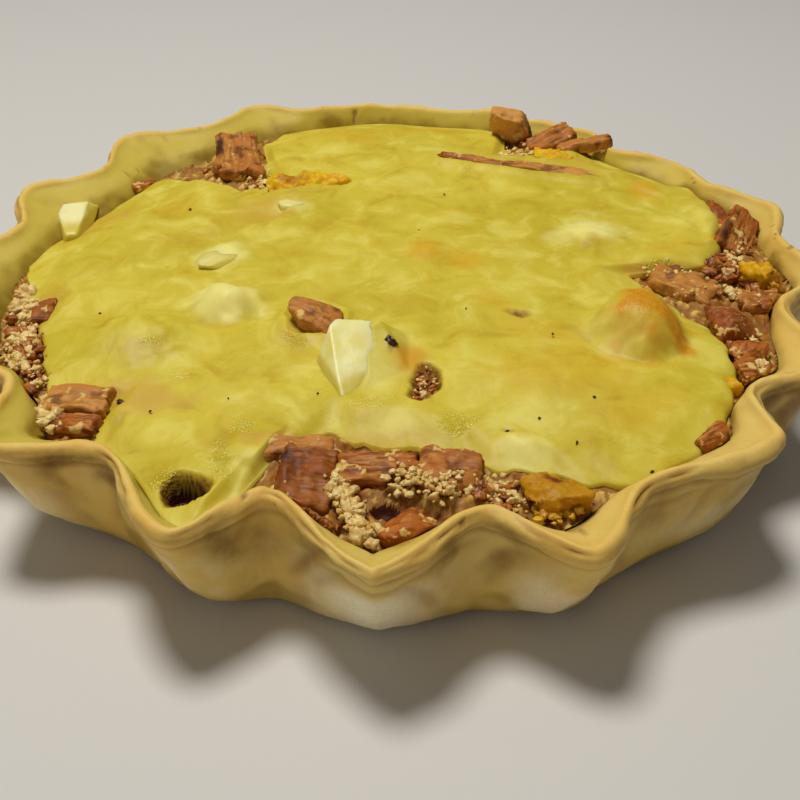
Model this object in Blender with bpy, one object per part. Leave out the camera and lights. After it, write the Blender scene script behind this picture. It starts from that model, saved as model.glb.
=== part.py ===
"""Ham and cheese tart, 24 cm across, as separate solids.

A dough case with a hand-folded rim holds a filling, a sheet of melted cheese lies on the
filling, and pieces of ham, egg white and egg yolk stand out of both.

Frame: +Z up, -Y towards the front, origin on the flat underside below the middle of the case.
Lengths in the tables are millimetres, bearings are degrees anticlockwise from +X. The meshes
are in metres.
"""

import bmesh
import bpy
from math import atan2, cos, degrees, hypot, pi, radians, sin, sqrt
from mathutils import Euler, Matrix, Vector, noise

MM = 0.001

# Driving dimensions of the case
RIM_HEIGHT = 36.0
RIM_RIPPLE = 0.3
REAR_LIFT = 0.8
BASE_RADIUS = 100.6
BASE_SHIFT = 5.0
RIM_MEAN_RADIUS = 115.0
BASE_WAVE_SHARE = 0.2
WALL_BULGE = 0.85
DOUGH = 4.0
MAX_SLANT = 1.9
FOOT_TUCK = 4.0
FLOOR_FILLET = 2.5

# The rim's folds in turn, inward and outward: bearing, radius of the rim's outer edge, how sharp
# the tip is, from 0, round, to 1, a crease, and how far the dough reaches inward inside it
FOLDS = [
    (8.6, 119.7, 0.0, 0.5), (17.5, 127.0, 0.0, 6.0), (29.3, 118.2, 0.0, 1.0),
    (36.5, 121.0, 0.0, 10.0), (45.5, 112.8, 0.1, 1.0), (53.0, 119.5, 0.0, 3.0),
    (62.5, 118.0, 0.0, 3.0), (69.5, 120.5, 0.0, 0.5), (79.8, 118.0, 0.0, 0.3),
    (90.6, 120.7, 0.0, 0.0), (102.5, 118.8, 0.0, 0.5), (111.0, 125.8, 0.1, 10.0),
    (121.0, 117.0, 0.0, 9.0), (134.0, 125.6, 0.1, 19.0), (144.9, 111.3, 0.4, 8.5),
    (155.5, 121.8, 0.1, 20.0), (166.9, 110.1, 0.2, 5.5), (178.0, 122.0, 0.1, 15.0),
    (189.0, 109.5, 0.2, 1.0), (200.0, 120.5, 0.1, 12.0), (210.5, 104.6, 0.2, 1.0),
    (222.0, 119.5, 0.0, 12.0), (233.7, 102.9, 0.1, 1.0), (249.5, 118.8, 0.1, 3.0),
    (257.5, 100.6, 0.3, 0.0), (270.5, 123.3, 0.7, 9.0), (282.8, 106.7, 0.1, 0.5),
    (291.8, 125.7, 0.2, 12.0), (303.5, 112.3, 0.1, 2.0), (320.0, 121.8, 0.0, 10.0),
    (327.9, 109.6, 0.2, 1.0), (338.0, 123.5, 0.1, 12.0), (350.0, 111.5, 0.2, 0.5),
    (359.5, 123.0, 0.0, 2.0),
]
STEPS_PER_FOLD = 4

# The share of that reach that the dough has at a height
REACH_HEIGHTS = [(4.0, 0.5), (10.0, 0.7), (26.0, 0.85), (32.5, 0.55), (34.5, 0.0)]

# Section of the case wall, from the foot up the outside, over the cut edge and down the inside:
# height, share of the dough crossed from the outer face, outward shift
WALL_SECTION = [
    (1.5, 0.0, -0.9), (6.0, 0.0, 0.0), (31.0, 0.0, -0.4),
    (32.1, 0.0, 0.3), (33.8, 0.04, 0.2), (35.4, 0.38, 0.0), (36.0, 0.72, 0.0),
    (35.1, 0.97, 0.0),
]
INNER_HEIGHTS = (32.5, 26.0, 10.0)
RIM_DROP_FROM = 26.0
RIM_DROP_SPAN = 8.0
SLANT_STEP = 0.6

# Filling and cheese
GAP = 0.3
FILL_EDGE_HEIGHT = 29.2
FILL_CROWN = 4.2
FILL_CROWN_RADIUS = 108.0
FILL_LEAN_X = 1.4
FILL_LEAN_Y = 0.6
FILL_DIP = (-84.0, 52.0, 42.0, 1.7)
CURD_RELIEF = 0.9
CHEESE_THICKNESS = 2.7
CHEESE_TAPER = 9.0
CHEESE_WALL_GAP = 0.8
SHEET_GAP = 0.5

# Rings of the meshes, as shares of the way from the middle to the edge
FILL_RINGS = (1.0, 0.955, 0.90, 0.82, 0.73, 0.60, 0.40, 0.20)
CHEESE_UNDER_RINGS = (0.35, 0.65, 0.86, 0.985)
CHEESE_TOP_RINGS = (1.0, 0.96, 0.89, 0.80, 0.70, 0.58, 0.44, 0.28, 0.13)

# Edge of the melted cheese, which leaves bays where ham and filling show: bearing, radius
CHEESE_EDGE = [
    (0.0, 70.0), (4.5, 92.0), (10.0, 100.0), (16.3, 105.6), (24.0, 110.0), (32.5, 113.5),
    (36.0, 112.0), (44.7, 112.0), (53.0, 112.0), (58.0, 98.0), (64.0, 95.0), (68.0, 112.0),
    (80.0, 117.0), (90.0, 117.0), (99.0, 117.0), (106.0, 112.0), (112.0, 104.0), (116.0, 84.0),
    (121.8, 68.0), (128.0, 71.0), (132.0, 82.0), (135.5, 98.0), (142.0, 104.0), (154.0, 104.0),
    (168.0, 102.0), (180.0, 97.5), (191.0, 92.5), (198.0, 90.0), (206.0, 92.5), (213.0, 94.0),
    (218.0, 91.0), (222.5, 87.0), (227.5, 96.0), (236.0, 104.0), (242.0, 112.0), (248.0, 112.0),
    (252.0, 98.0), (255.0, 82.0), (262.0, 71.8), (269.0, 75.0), (276.5, 76.5), (285.0, 82.5),
    (290.0, 89.5), (295.5, 95.0), (299.0, 102.0), (306.0, 108.0), (315.0, 110.0), (324.0, 104.5),
    (331.5, 101.0), (337.5, 96.5), (342.5, 92.0), (346.0, 84.0), (351.0, 78.5), (356.0, 73.0),
]

# Swells in the cheese over egg and yolk beneath it: x, y, radius, height, how round the top is
SWELLS = [
    (67.0, -32.0, 14.0, 9.5, 1.7), (-38.5, -18.0, 12.0, 5.4, 1.15), (-59.5, -34.0, 15.0, 4.0, 1.3),
    (62.0, 16.0, 13.0, 3.0, 1.0), (33.0, -80.0, 10.0, 2.4, 1.0), (13.6, 7.5, 8.0, 1.0, 1.0),
    (-72.0, 22.0, 22.0, 1.5, 1.0), (44.0, -52.0, 30.0, 2.0, 1.0), (-14.0, 92.0, 16.0, 1.6, 1.0),
    (-43.0, 7.0, 9.0, 1.2, 1.0), (88.0, 22.0, 12.0, 1.2, 1.0), (24.0, -8.0, 12.0, 0.8, 1.0),
    (-84.0, 4.0, 12.0, 1.4, 1.0), (-52.0, 52.0, 14.0, 1.0, 1.0), (80.0, 62.0, 14.0, 1.2, 1.0),
]

# Where a hollow opens beside the case: x, y, z, half sizes along x, y and z
FRONT_PIT = (-40.6, -88.6, 31.0, 7.0, 4.6, 6.5)
HAM_PIT = (3.2, -95.5, 31.5, 3.6, 2.4, 4.5)

# Pieces of ham, egg and yolk. A lump has: centre, size, turn about x, y and z, boxiness, seed.
# A slice has: centre, length, width, thickness, turn about x, y and z, curl in degrees, seed
HAM_LUMPS = {
    "ham_middle": ((-15.2, -28.6, 36.6), (12.5, 9.0, 8.0), (10, 0, -25), 3.0, 11),
    "ham_rear_chunk": ((44.4, 97.4, 36.2), (13.5, 8.5, 12.0), (20, 8, -8), 4.0, 12),
    "ham_rear_crumb": ((-75.2, 65.0, 28.4), (8.5, 5.5, 5.0), (0, 0, 30), 3.0, 13),
    "ham_right_dice": ((91.4, -25.6, 33.6), (10.5, 11.0, 8.0), (0, 10, 20), 5.0, 14),
    "ham_right_low": ((94.0, -37.2, 32.0), (7.5, 8.5, 5.5), (0, 0, 60), 3.5, 15),
    "ham_right_string": ((92.2, -46.0, 31.6), (4.4, 10.5, 4.4), (0, 0, 8), 3.0, 19),
    "ham_left_shred": ((-88.2, -15.0, 30.4), (6.0, 10.0, 4.0), (0, 0, 10), 3.0, 16),
    "ham_front_tip": ((8.2, -103.5, 30.6), (11.0, 8.0, 6.0), (0, 0, 10), 3.5, 17),
    "ham_front_shred": ((78.2, -73.0, 31.8), (9.5, 5.0, 5.0), (0, 0, 35), 3.0, 18),
}
HAM_SLICES = {
    "ham_rear_left": ((-46.2, 75.5, 33.6), 26.0, 14.0, 4.4, (6, -4, 100), -26, 21),
    "ham_rear_strip_inner": ((57.0, 89.0, 35.0), 17.0, 8.0, 4.5, (10, -10, 30), 20, 22),
    "ham_rear_strip_outer": ((67.5, 82.2, 36.0), 18.0, 5.0, 4.0, (0, -8, 8), 10, 23),
    "ham_long_strip": ((44.6, 65.0, 35.9), 52.0, 6.0, 3.2, (0, 1, -16), 4, 24),
    "ham_right_rear": ((99.6, 31.6, 34.0), 19.0, 8.0, 3.6, (24, 4, -80), 20, 25),
    "ham_right_upright": ((105.0, 23.0, 34.6), 19.0, 10.0, 3.6, (34, -10, 64), 20, 26),
    "ham_right_slab": ((83.4, -6.8, 34.0), 17.0, 11.0, 4.2, (4, 8, -28), 12, 27),
    "ham_right_outer": ((103.2, -13.2, 32.0), 13.0, 9.0, 4.0, (0, 6, 12), 10, 28),
    "ham_left_upper": ((-70.5, -57.5, 31.6), 16.0, 9.0, 3.4, (4, -4, -8), 8, 30),
    "ham_left_lower": ((-70.0, -66.0, 30.6), 13.0, 5.5, 3.6, (0, -4, -12), 10, 31),
    "ham_front_strip": ((-19.0, -77.0, 32.4), 21.0, 6.5, 2.6, (8, 2, 2), 8, 32),
    "ham_front_left": ((-14.0, -88.5, 32.2), 12.5, 17.0, 4.4, (14, 4, -6), 10, 33),
    "ham_front_middle": ((1.8, -85.4, 32.8), 18.0, 8.5, 4.0, (12, 0, 4), 14, 34),
    "ham_front_right": ((17.4, -86.4, 33.0), 14.5, 11.5, 4.4, (14, 0, -10), 12, 35),
}
EGG_WEDGES = {
    "egg_middle": ((-3.0, -49.0, 35.6), (22.0, 24.0, 14.5), (0, 0, 0), 51),
    "egg_small": ((-42.5, 5.6, 34.3), (14.0, 8.5, 5.0), (8, 0, 14), 52),
    "egg_rear": ((-24.8, 35.6, 34.6), (8.0, 6.5, 6.0), (0, 0, 20), 53),
    "egg_left": ((-93.0, 37.0, 31.0), (14.0, 19.0, 6.0), (14, 0, 10), 54),
}
YOLK_LUMPS = {
    "yolk_rear": ((-21.6, 54.6, 33.9), (25.0, 14.5, 7.0), (0, 0, 6), 2.6, 61),
    "yolk_rear_right": ((57.6, 77.4, 32.2), (13.5, 7.0, 6.0), (0, 0, -6), 3.0, 62),
    "yolk_right": ((106.6, 1.2, 32.4), (10.0, 9.0, 6.5), (0, 0, 0), 3.0, 63),
    "yolk_right_low": ((86.4, -50.4, 30.6), (5.5, 6.5, 5.0), (0, 0, 30), 2.6, 64),
    "yolk_front": ((40.2, -91.8, 31.2), (12.5, 10.0, 6.5), (0, 0, 8), 3.0, 65),
}

CUTTER_GAP = 0.35
BOWL_TOP = 60.0

# Colours as linear values, and roughness
DOUGH_LOOK = ((0.70, 0.46, 0.16), 0.65)
FILLING_LOOK = ((0.62, 0.42, 0.20), 0.60)
CHEESE_LOOK = ((0.60, 0.47, 0.08), 0.30)
HAM_LOOK = ((0.42, 0.11, 0.06), 0.45)
EGG_LOOK = ((0.80, 0.76, 0.42), 0.30)
YOLK_LOOK = ((0.75, 0.42, 0.03), 0.50)


def clear_scene():
    for item in list(bpy.data.objects):
        bpy.data.objects.remove(item, do_unlink=True)


def make_collection(name):
    collection = bpy.data.collections.new(name)
    bpy.context.scene.collection.children.link(collection)
    return collection


def make_material(name, look):
    colour, roughness = look
    material = bpy.data.materials.new(name)
    material.use_nodes = True
    shader = material.node_tree.nodes["Principled BSDF"]
    shader.inputs["Base Color"].default_value = (*colour, 1.0)
    shader.inputs["Roughness"].default_value = roughness
    shader.inputs["Metallic"].default_value = 0.0
    return material


def smoothstep(value):
    value = min(max(value, 0.0), 1.0)
    return value * value * (3.0 - 2.0 * value)


# Case

def between_folds(bearing):
    """The fold tips on both sides of a bearing, and the share of the way from one to the other."""
    bearing = bearing % 360.0
    for here, after in zip(FOLDS, FOLDS[1:] + FOLDS[:1]):
        span = (after[0] - here[0]) % 360.0
        way = (bearing - here[0]) % 360.0
        if way < span:
            return here, after, way / span
    return FOLDS[0], FOLDS[1], 0.0


def rim_radius(bearing):
    here, after, share = between_folds(bearing)
    wave = (1.0 - cos(pi * share)) / 2.0
    sharp = here[2] + (after[2] - here[2]) * share
    return here[1] + (after[1] - here[1]) * (wave + sharp * (share - wave))


def wave_share(z):
    """How much of the rim's folding the wall has at a height: little at the foot, all at the rim."""
    rise = min(max(z / RIM_HEIGHT, 0.0), 1.0) ** WALL_BULGE
    return BASE_WAVE_SHARE + (1.0 - BASE_WAVE_SHARE) * rise


def outer_radius(bearing, z):
    """The wall leans further out on the left than on the right, where the base comes nearer."""
    rise = min(max(z / RIM_HEIGHT, 0.0), 1.0) ** WALL_BULGE
    rim = rim_radius(bearing)
    base = BASE_RADIUS + BASE_SHIFT * cos(radians(bearing)) + BASE_WAVE_SHARE * (rim - RIM_MEAN_RADIUS)
    return base + (rim - base) * rise


def slant(bearing, z):
    """How much longer a level line through the wall is than the wall is thick."""
    rise = rim_radius(bearing + SLANT_STEP) - rim_radius(bearing - SLANT_STEP)
    change = rise / radians(2.0 * SLANT_STEP)
    slope = change * wave_share(z) / outer_radius(bearing, z)
    return min(sqrt(1.0 + slope * slope), MAX_SLANT)


def inward_reach(bearing, z):
    """How far the dough inside a fold comes inward at a height, past its own thickness."""
    here, after, share = between_folds(bearing)
    reach = here[3] + (after[3] - here[3]) * smoothstep(share)
    for (low, part), (high, other) in zip(REACH_HEIGHTS, REACH_HEIGHTS[1:]):
        if z < high:
            return reach * (part + (other - part) * max(z - low, 0.0) / (high - low))
    return reach * REACH_HEIGHTS[-1][1]


def inner_radius(bearing, z):
    return outer_radius(bearing, z) - DOUGH * slant(bearing, z) - inward_reach(bearing, z)


def rim_drop(bearing):
    """How far the rim lies under its height in front, which varies a little round the case: it
    stands higher at the rear."""
    turn = radians(bearing)
    wave = 0.6 * sin(3.0 * turn + 0.7) + 0.4 * sin(7.0 * turn + 0.2)
    return RIM_RIPPLE * (1.0 - wave) - REAR_LIFT * max(sin(turn), 0.0)


def columns():
    """Bearings of the case's columns, the same number between any two fold tips."""
    bearings = []
    for here, after in zip(FOLDS, FOLDS[1:] + FOLDS[:1]):
        span = (after[0] - here[0]) % 360.0
        bearings += [here[0] + span * step / STEPS_PER_FOLD for step in range(STEPS_PER_FOLD)]
    return bearings


def place(bearing, radius, z):
    return Vector((radius * cos(radians(bearing)), radius * sin(radians(bearing)), z))


def loft(name, rings, first, last, material, collection):
    """A closed solid through rings of points, with a middle point at each end. A ring may have
    half as many points as the ring beside it. Solids that face each other take their rings in
    the same order, downwards at the wall, so that their facets run the same way."""
    build = bmesh.new()
    rows = [[build.verts.new(point * MM) for point in ring] for ring in rings]
    ends = [build.verts.new(first * MM), build.verts.new(last * MM)]
    for end, row in zip(ends, (rows[0], rows[-1])):
        for index, corner in enumerate(row):
            build.faces.new((end, corner, row[(index + 1) % len(row)]))
    for low, high in zip(rows, rows[1:]):
        bridge(build, low, high)
    bmesh.ops.recalc_face_normals(build, faces=build.faces)
    mesh = bpy.data.meshes.new(name)
    build.to_mesh(mesh)
    build.free()
    mesh.shade_smooth()
    solid = bpy.data.objects.new(name, mesh)
    solid.data.materials.append(material)
    collection.objects.link(solid)
    return solid


def bridge(build, low, high):
    fine, coarse = (low, high) if len(low) >= len(high) else (high, low)
    ratio = len(fine) // len(coarse)
    for index, corner in enumerate(coarse):
        following = coarse[(index + 1) % len(coarse)]
        run = [fine[(index * ratio + step) % len(fine)] for step in range(ratio + 1)]
        middle = (ratio + 1) // 2
        for step in range(ratio):
            build.faces.new((run[step], run[step + 1], corner if step < middle else following))
        build.faces.new((corner, following, run[middle]))


def case_ring(z, across, shift, sinking=True, bearings=None):
    ring = []
    for bearing in bearings or columns():
        outside = outer_radius(bearing, z)
        radius = outside + (inner_radius(bearing, z) - outside) * across + shift
        drop = rim_drop(bearing) * smoothstep((z - RIM_DROP_FROM) / RIM_DROP_SPAN) if sinking else 0.0
        ring.append(place(bearing, radius, z - drop))
    return ring


def make_case(material, collection):
    sparse = columns()[::2]
    rings = [case_ring(0.0, 0.0, -FOOT_TUCK, bearings=sparse)]
    rings += [case_ring(z, across, shift) for z, across, shift in WALL_SECTION]
    rings += [case_ring(z, 1.0, 0.0, sinking=False) for z in INNER_HEIGHTS]
    rings += [case_ring(DOUGH, 1.0, -FLOOR_FILLET, bearings=sparse)]
    return loft("crust", rings, Vector((0, 0, 0)), Vector((0, 0, DOUGH)), material, collection)


# Filling and cheese

def fill_level(x, y):
    """Top of the filling without its crumb: a low crown, higher to the right and the rear, with
    a dip at the left rear."""
    crown = 1.0 - min((x * x + y * y) / FILL_CROWN_RADIUS ** 2, 1.4)
    lean = FILL_LEAN_X * x / 100.0 + FILL_LEAN_Y * y / 100.0
    dip_x, dip_y, reach, depth = FILL_DIP
    dip = depth * smoothstep(1.0 - hypot(x - dip_x, y - dip_y) / reach)
    return FILL_EDGE_HEIGHT + FILL_CROWN * crown + lean - dip


def wall_face(bearing, z):
    """Radius of the case's inner face, which is straight between two heights of its section."""
    high, low = INNER_HEIGHTS[0], INNER_HEIGHTS[1]
    top, foot = inner_radius(bearing, high), inner_radius(bearing, low)
    return foot + (top - foot) * (z - low) / (high - low)


def cheese_edge(bearing):
    bearing = bearing % 360.0
    for here, after in zip(CHEESE_EDGE, CHEESE_EDGE[1:] + CHEESE_EDGE[:1]):
        span = (after[0] - here[0]) % 360.0
        way = (bearing - here[0]) % 360.0
        if way < span:
            return here[1] + (after[1] - here[1]) * smoothstep(way / span)
    return CHEESE_EDGE[0][1]


def fill_edge(bearing):
    """The upper border of the filling against the wall."""
    radius = wall_face(bearing, FILL_EDGE_HEIGHT)
    spot = place(bearing, radius, 0.0)
    z = fill_level(spot.x, spot.y)
    return wall_face(bearing, z) - GAP * slant(bearing, z)


def crumb(x, y):
    """Crumbly relief of the filling where no cheese covers it."""
    bearing = degrees(atan2(y, x))
    bare = smoothstep((hypot(x, y) - cheese_edge(bearing) - 2.5) / 5.0)
    grain = noise.noise(Vector((x * 0.31, y * 0.31, 2.0))) + 0.6 * noise.noise(Vector((x, y, 7.0)))
    return CURD_RELIEF * bare * grain


def make_filling(material, collection):
    bearings = columns()
    sparse = bearings[::2]
    rings = [[place(b, inner_radius(b, DOUGH) - FLOOR_FILLET - GAP, DOUGH + GAP) for b in sparse]]
    for z in reversed(INNER_HEIGHTS[1:]):
        rings.append([place(b, inner_radius(b, z) - GAP * slant(b, z), z) for b in bearings])
    for share in FILL_RINGS:
        used = bearings if share > 0.92 else sparse
        ring = []
        for bearing in used:
            spot = place(bearing, fill_edge(bearing) * share, 0.0)
            rise = crumb(spot.x, spot.y) if share < 1.0 else 0.0
            ring.append(Vector((spot.x, spot.y, fill_level(spot.x, spot.y) + rise)))
        rings.append(ring)
    middle = Vector((0, 0, fill_level(0, 0)))
    floor = Vector((0, 0, DOUGH + GAP))
    return loft("filling", rings[::-1], middle, floor, material, collection)


def cheese_radius(bearing):
    return min(cheese_edge(bearing), fill_edge(bearing) - CHEESE_WALL_GAP)


def cheese_top(x, y, edge_radius):
    inside = smoothstep((edge_radius - hypot(x, y)) / CHEESE_TAPER)
    top = fill_level(x, y) + SHEET_GAP + CHEESE_THICKNESS * (0.25 + 0.75 * inside)
    for swell_x, swell_y, radius, height, roundness in SWELLS:
        gap = min(hypot(x - swell_x, y - swell_y) / radius, 1.0)
        top += height * inside * smoothstep(1.0 - gap ** roundness)
    return top


def make_cheese(material, collection):
    bearings = columns()[::2]
    rings = []
    for share in CHEESE_UNDER_RINGS:
        ring = [place(b, cheese_radius(b) * share, 0.0) for b in bearings]
        rings.append([Vector((p.x, p.y, fill_level(p.x, p.y) + SHEET_GAP)) for p in ring])
    for share in CHEESE_TOP_RINGS:
        ring = []
        for bearing in bearings:
            spot = place(bearing, cheese_radius(bearing) * share, 0.0)
            ring.append(Vector((spot.x, spot.y, cheese_top(spot.x, spot.y, cheese_radius(bearing)))))
        rings.append(ring)
    low = Vector((0, 0, fill_level(0, 0) + SHEET_GAP))
    high = Vector((0, 0, cheese_top(0, 0, cheese_radius(0))))
    return loft("cheese", rings, low, high, material, collection)


# Pieces

def finish_piece(name, build, centre, turn, material, collection):
    rotation = Euler([radians(angle) for angle in turn]).to_matrix().to_4x4()
    bmesh.ops.transform(build, matrix=Matrix.Scale(MM, 4) @ rotation, verts=build.verts)
    bmesh.ops.recalc_face_normals(build, faces=build.faces)
    mesh = bpy.data.meshes.new(name)
    build.to_mesh(mesh)
    build.free()
    mesh.shade_smooth()
    piece = bpy.data.objects.new(name, mesh)
    piece.location = Vector(centre) * MM
    piece.data.materials.append(material)
    collection.objects.link(piece)
    return piece


def make_lump(name, centre, size, turn, boxiness, seed, material, collection):
    """A rounded block with an uneven skin."""
    build = bmesh.new()
    bmesh.ops.create_icosphere(build, subdivisions=2, radius=1.0)
    for corner in build.verts:
        way = corner.co.normalized()
        reach = sum(abs(part) ** boxiness for part in way) ** (-1.0 / boxiness)
        reach *= 1.0 + 0.16 * noise.noise(way * 1.7 + Vector((seed, 0.0, 0.0)))
        corner.co = Vector([way[axis] * reach * size[axis] / 2.0 for axis in range(3)])
    return finish_piece(name, build, centre, turn, material, collection)


def make_slice(name, centre, length, width, thickness, turn, curl, seed, material, collection):
    """A cut of ham: a grid with ragged edges, curled along its length, given its thickness."""
    build = bmesh.new()
    lengthwise = max(3, round(length / 5.5))
    crosswise = 2 if width > 7.0 else 1
    bmesh.ops.create_grid(build, x_segments=lengthwise, y_segments=crosswise, size=0.5)
    bend = radians(curl)
    for corner in build.verts:
        u, v = corner.co.x, corner.co.y
        rag = noise.noise(Vector((u * 5.0, v * 5.0, seed)))
        swell = noise.noise(Vector((u * 4.0, v * 3.0, seed + 40.0)))
        along = u * length * (1.0 + 0.10 * rag)
        lift = -(u * u) * bend * length / 2.0 + 0.9 * swell
        corner.co = Vector((along, v * width * (1.0 + 0.18 * rag), lift - thickness / 2.0))
    bmesh.ops.recalc_face_normals(build, faces=build.faces)
    bmesh.ops.solidify(build, geom=list(build.faces), thickness=thickness)
    return finish_piece(name, build, centre, turn, material, collection)


def make_wedge(name, centre, size, turn, seed, material, collection):
    """A chopped bit of egg white: flat cut faces that meet at blunt edges, with its peak to the
    rear."""
    build = bmesh.new()
    bmesh.ops.create_cube(build, size=1.0)
    for corner in build.verts:
        if corner.co.z > 0.0:
            corner.co.x = corner.co.x * 0.42
            corner.co.y = corner.co.y * 0.42 + 0.16
        spot = corner.co * 3.0
        rough = [noise.noise(spot + Vector((seed, 20.0 * axis, 0.0))) for axis in range(3)]
        corner.co += Vector(rough) * 0.12
    bmesh.ops.bevel(build, geom=list(build.edges), offset=0.10, segments=1, affect="EDGES")
    bmesh.ops.scale(build, vec=Vector(size), verts=build.verts)
    bmesh.ops.triangulate(build, faces=build.faces)
    return finish_piece(name, build, centre, turn, material, collection)


def swollen_copy(piece, gap, collection):
    """A cutter: the piece with every face moved out by the gap."""
    mesh = piece.data.copy()
    build = bmesh.new()
    build.from_mesh(mesh)
    bmesh.ops.triangulate(build, faces=build.faces)
    build.normal_update()
    moved = [vert.co + vert.normal * gap * MM * min(vert.calc_shell_factor(), 1.8) for vert in build.verts]
    for vert, spot in zip(build.verts, moved):
        vert.co = spot
    build.to_mesh(mesh)
    build.free()
    cutter = bpy.data.objects.new(piece.name + "_cutter", mesh)
    cutter.location = piece.location
    cutter.hide_render = True
    cutter.display_type = "WIRE"
    collection.objects.link(cutter)
    return cutter


def world_box(item):
    spots = [item.location + vert.co for vert in item.data.vertices]
    low = [min(spot[axis] for spot in spots) for axis in range(3)]
    high = [max(spot[axis] for spot in spots) for axis in range(3)]
    return low, high


def boxes_meet(one, other):
    (low_a, high_a), (low_b, high_b) = world_box(one), world_box(other)
    return all(low_a[axis] < high_b[axis] and low_b[axis] < high_a[axis] for axis in range(3))


def largest_body(mesh):
    """Deletes every loose scrap but the largest body."""
    build = bmesh.new()
    build.from_mesh(mesh)
    left = set(build.verts)
    bodies = []
    while left:
        front = [left.pop()]
        body = list(front)
        while front:
            vert = front.pop()
            for edge in vert.link_edges:
                beside = edge.other_vert(vert)
                if beside in left:
                    left.remove(beside)
                    front.append(beside)
                    body.append(beside)
        bodies.append(body)
    bodies.sort(key=len)
    for body in bodies[:-1]:
        bmesh.ops.delete(build, geom=body, context="VERTS")
    bmesh.ops.triangulate(build, faces=build.faces)
    build.to_mesh(mesh)
    build.free()


def cut_mesh(target, cutter, operation, solver):
    """The target cut with an object, or with all objects of a collection at once."""
    cut = target.modifiers.new("cut", "BOOLEAN")
    if isinstance(cutter, bpy.types.Collection):
        cut.operand_type = "COLLECTION"
        cut.collection = cutter
    else:
        cut.object = cutter
    cut.operation = operation
    cut.solver = solver
    bpy.context.view_layer.update()
    graph = bpy.context.evaluated_depsgraph_get()
    mesh = bpy.data.meshes.new_from_object(target.evaluated_get(graph))
    target.modifiers.remove(cut)
    return mesh


def apply_cut(target, cutter, operation, solver="EXACT"):
    """Cuts a solid and keeps its largest body."""
    mesh = cut_mesh(target, cutter, operation, solver)
    largest_body(mesh)
    mesh.name = target.name
    target.data = mesh
    mesh.shade_smooth()


def make_bowl(collection):
    """The room inside the case, open upwards, that the pieces may fill."""
    bearings = columns()
    rings = []
    for z in INNER_HEIGHTS:
        rings.append([place(b, inner_radius(b, z) - GAP * slant(b, z), z) for b in bearings])
    rings.insert(0, [Vector((spot.x, spot.y, BOWL_TOP)) for spot in rings[0]])
    bowl = loft("bowl_cutter", rings, Vector((0, 0, BOWL_TOP)), Vector((0, 0, INNER_HEIGHTS[-1])),
                bpy.data.materials["dough"], collection)
    bowl.hide_render = True
    bowl.display_type = "WIRE"
    return bowl


def make_pit(name, pit, collection):
    bpy.ops.mesh.primitive_uv_sphere_add(segments=10, ring_count=6, radius=1.0)
    hollow = bpy.context.active_object
    hollow.name = name
    hollow.location = Vector(pit[:3]) * MM
    for vert in hollow.data.vertices:
        vert.co = Vector([vert.co[axis] * pit[3 + axis] * MM for axis in range(3)])
    for parent in list(hollow.users_collection):
        parent.objects.unlink(hollow)
    collection.objects.link(hollow)
    hollow.hide_render = True
    hollow.display_type = "WIRE"
    return hollow


def make_pieces(materials, collection):
    pieces = []
    for name, (centre, size, turn, boxiness, seed) in HAM_LUMPS.items():
        pieces.append(make_lump(name, centre, size, turn, boxiness, seed, materials["ham"], collection))
    for name, (centre, length, width, thickness, turn, curl, seed) in HAM_SLICES.items():
        pieces.append(make_slice(name, centre, length, width, thickness, turn, curl, seed,
                                 materials["ham"], collection))
    for name, (centre, size, turn, seed) in EGG_WEDGES.items():
        pieces.append(make_wedge(name, centre, size, turn, seed, materials["egg"], collection))
    for name, (centre, size, turn, boxiness, seed) in YOLK_LUMPS.items():
        pieces.append(make_lump(name, centre, size, turn, boxiness, seed, materials["yolk"], collection))
    return pieces


def fit_pieces(pieces, bowl, cutters):
    """Trims the pieces at the case and at each other, and returns their cutters."""
    swollen = []
    for piece in pieces:
        for cutter in swollen:
            if boxes_meet(piece, cutter):
                apply_cut(piece, cutter, "DIFFERENCE")
        apply_cut(piece, bowl, "INTERSECT")
        swollen.append(swollen_copy(piece, CUTTER_GAP, cutters))
    return swollen


def main():
    clear_scene()
    tart = make_collection("ham_and_cheese_tart")
    cutters = make_collection("cutters")
    materials = {
        "dough": make_material("dough", DOUGH_LOOK),
        "filling": make_material("filling", FILLING_LOOK),
        "cheese": make_material("cheese", CHEESE_LOOK),
        "ham": make_material("ham", HAM_LOOK),
        "egg": make_material("egg", EGG_LOOK),
        "yolk": make_material("yolk", YOLK_LOOK),
    }
    make_case(materials["dough"], tart)
    filling = make_filling(materials["filling"], tart)
    cheese = make_cheese(materials["cheese"], tart)
    bowl = make_bowl(cutters)
    pieces = make_pieces(materials, tart)
    swollen = fit_pieces(pieces, bowl, cutters)
    pits = [make_pit("front_pit_cutter", FRONT_PIT, cutters), make_pit("ham_pit_cutter", HAM_PIT, cutters)]
    cutters.objects.unlink(bowl)
    for solid in (filling, cheese):
        apply_cut(solid, cutters, "DIFFERENCE")
    for cutter in swollen + pits + [bowl]:
        bpy.data.objects.remove(cutter, do_unlink=True)


main()
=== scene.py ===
"""Looks of a ham and cheese tart: fine surfaces, materials, crumbs, light and camera.

The shapes repeat the solids' own named values at a finer step. Lengths are millimetres and
bearings are degrees anticlockwise from +X until a mesh is made, which is in metres.
"""

from itertools import product
from math import cos, pi, radians, sin

import bpy
import numpy as np
from mathutils import Euler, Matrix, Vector, noise


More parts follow.
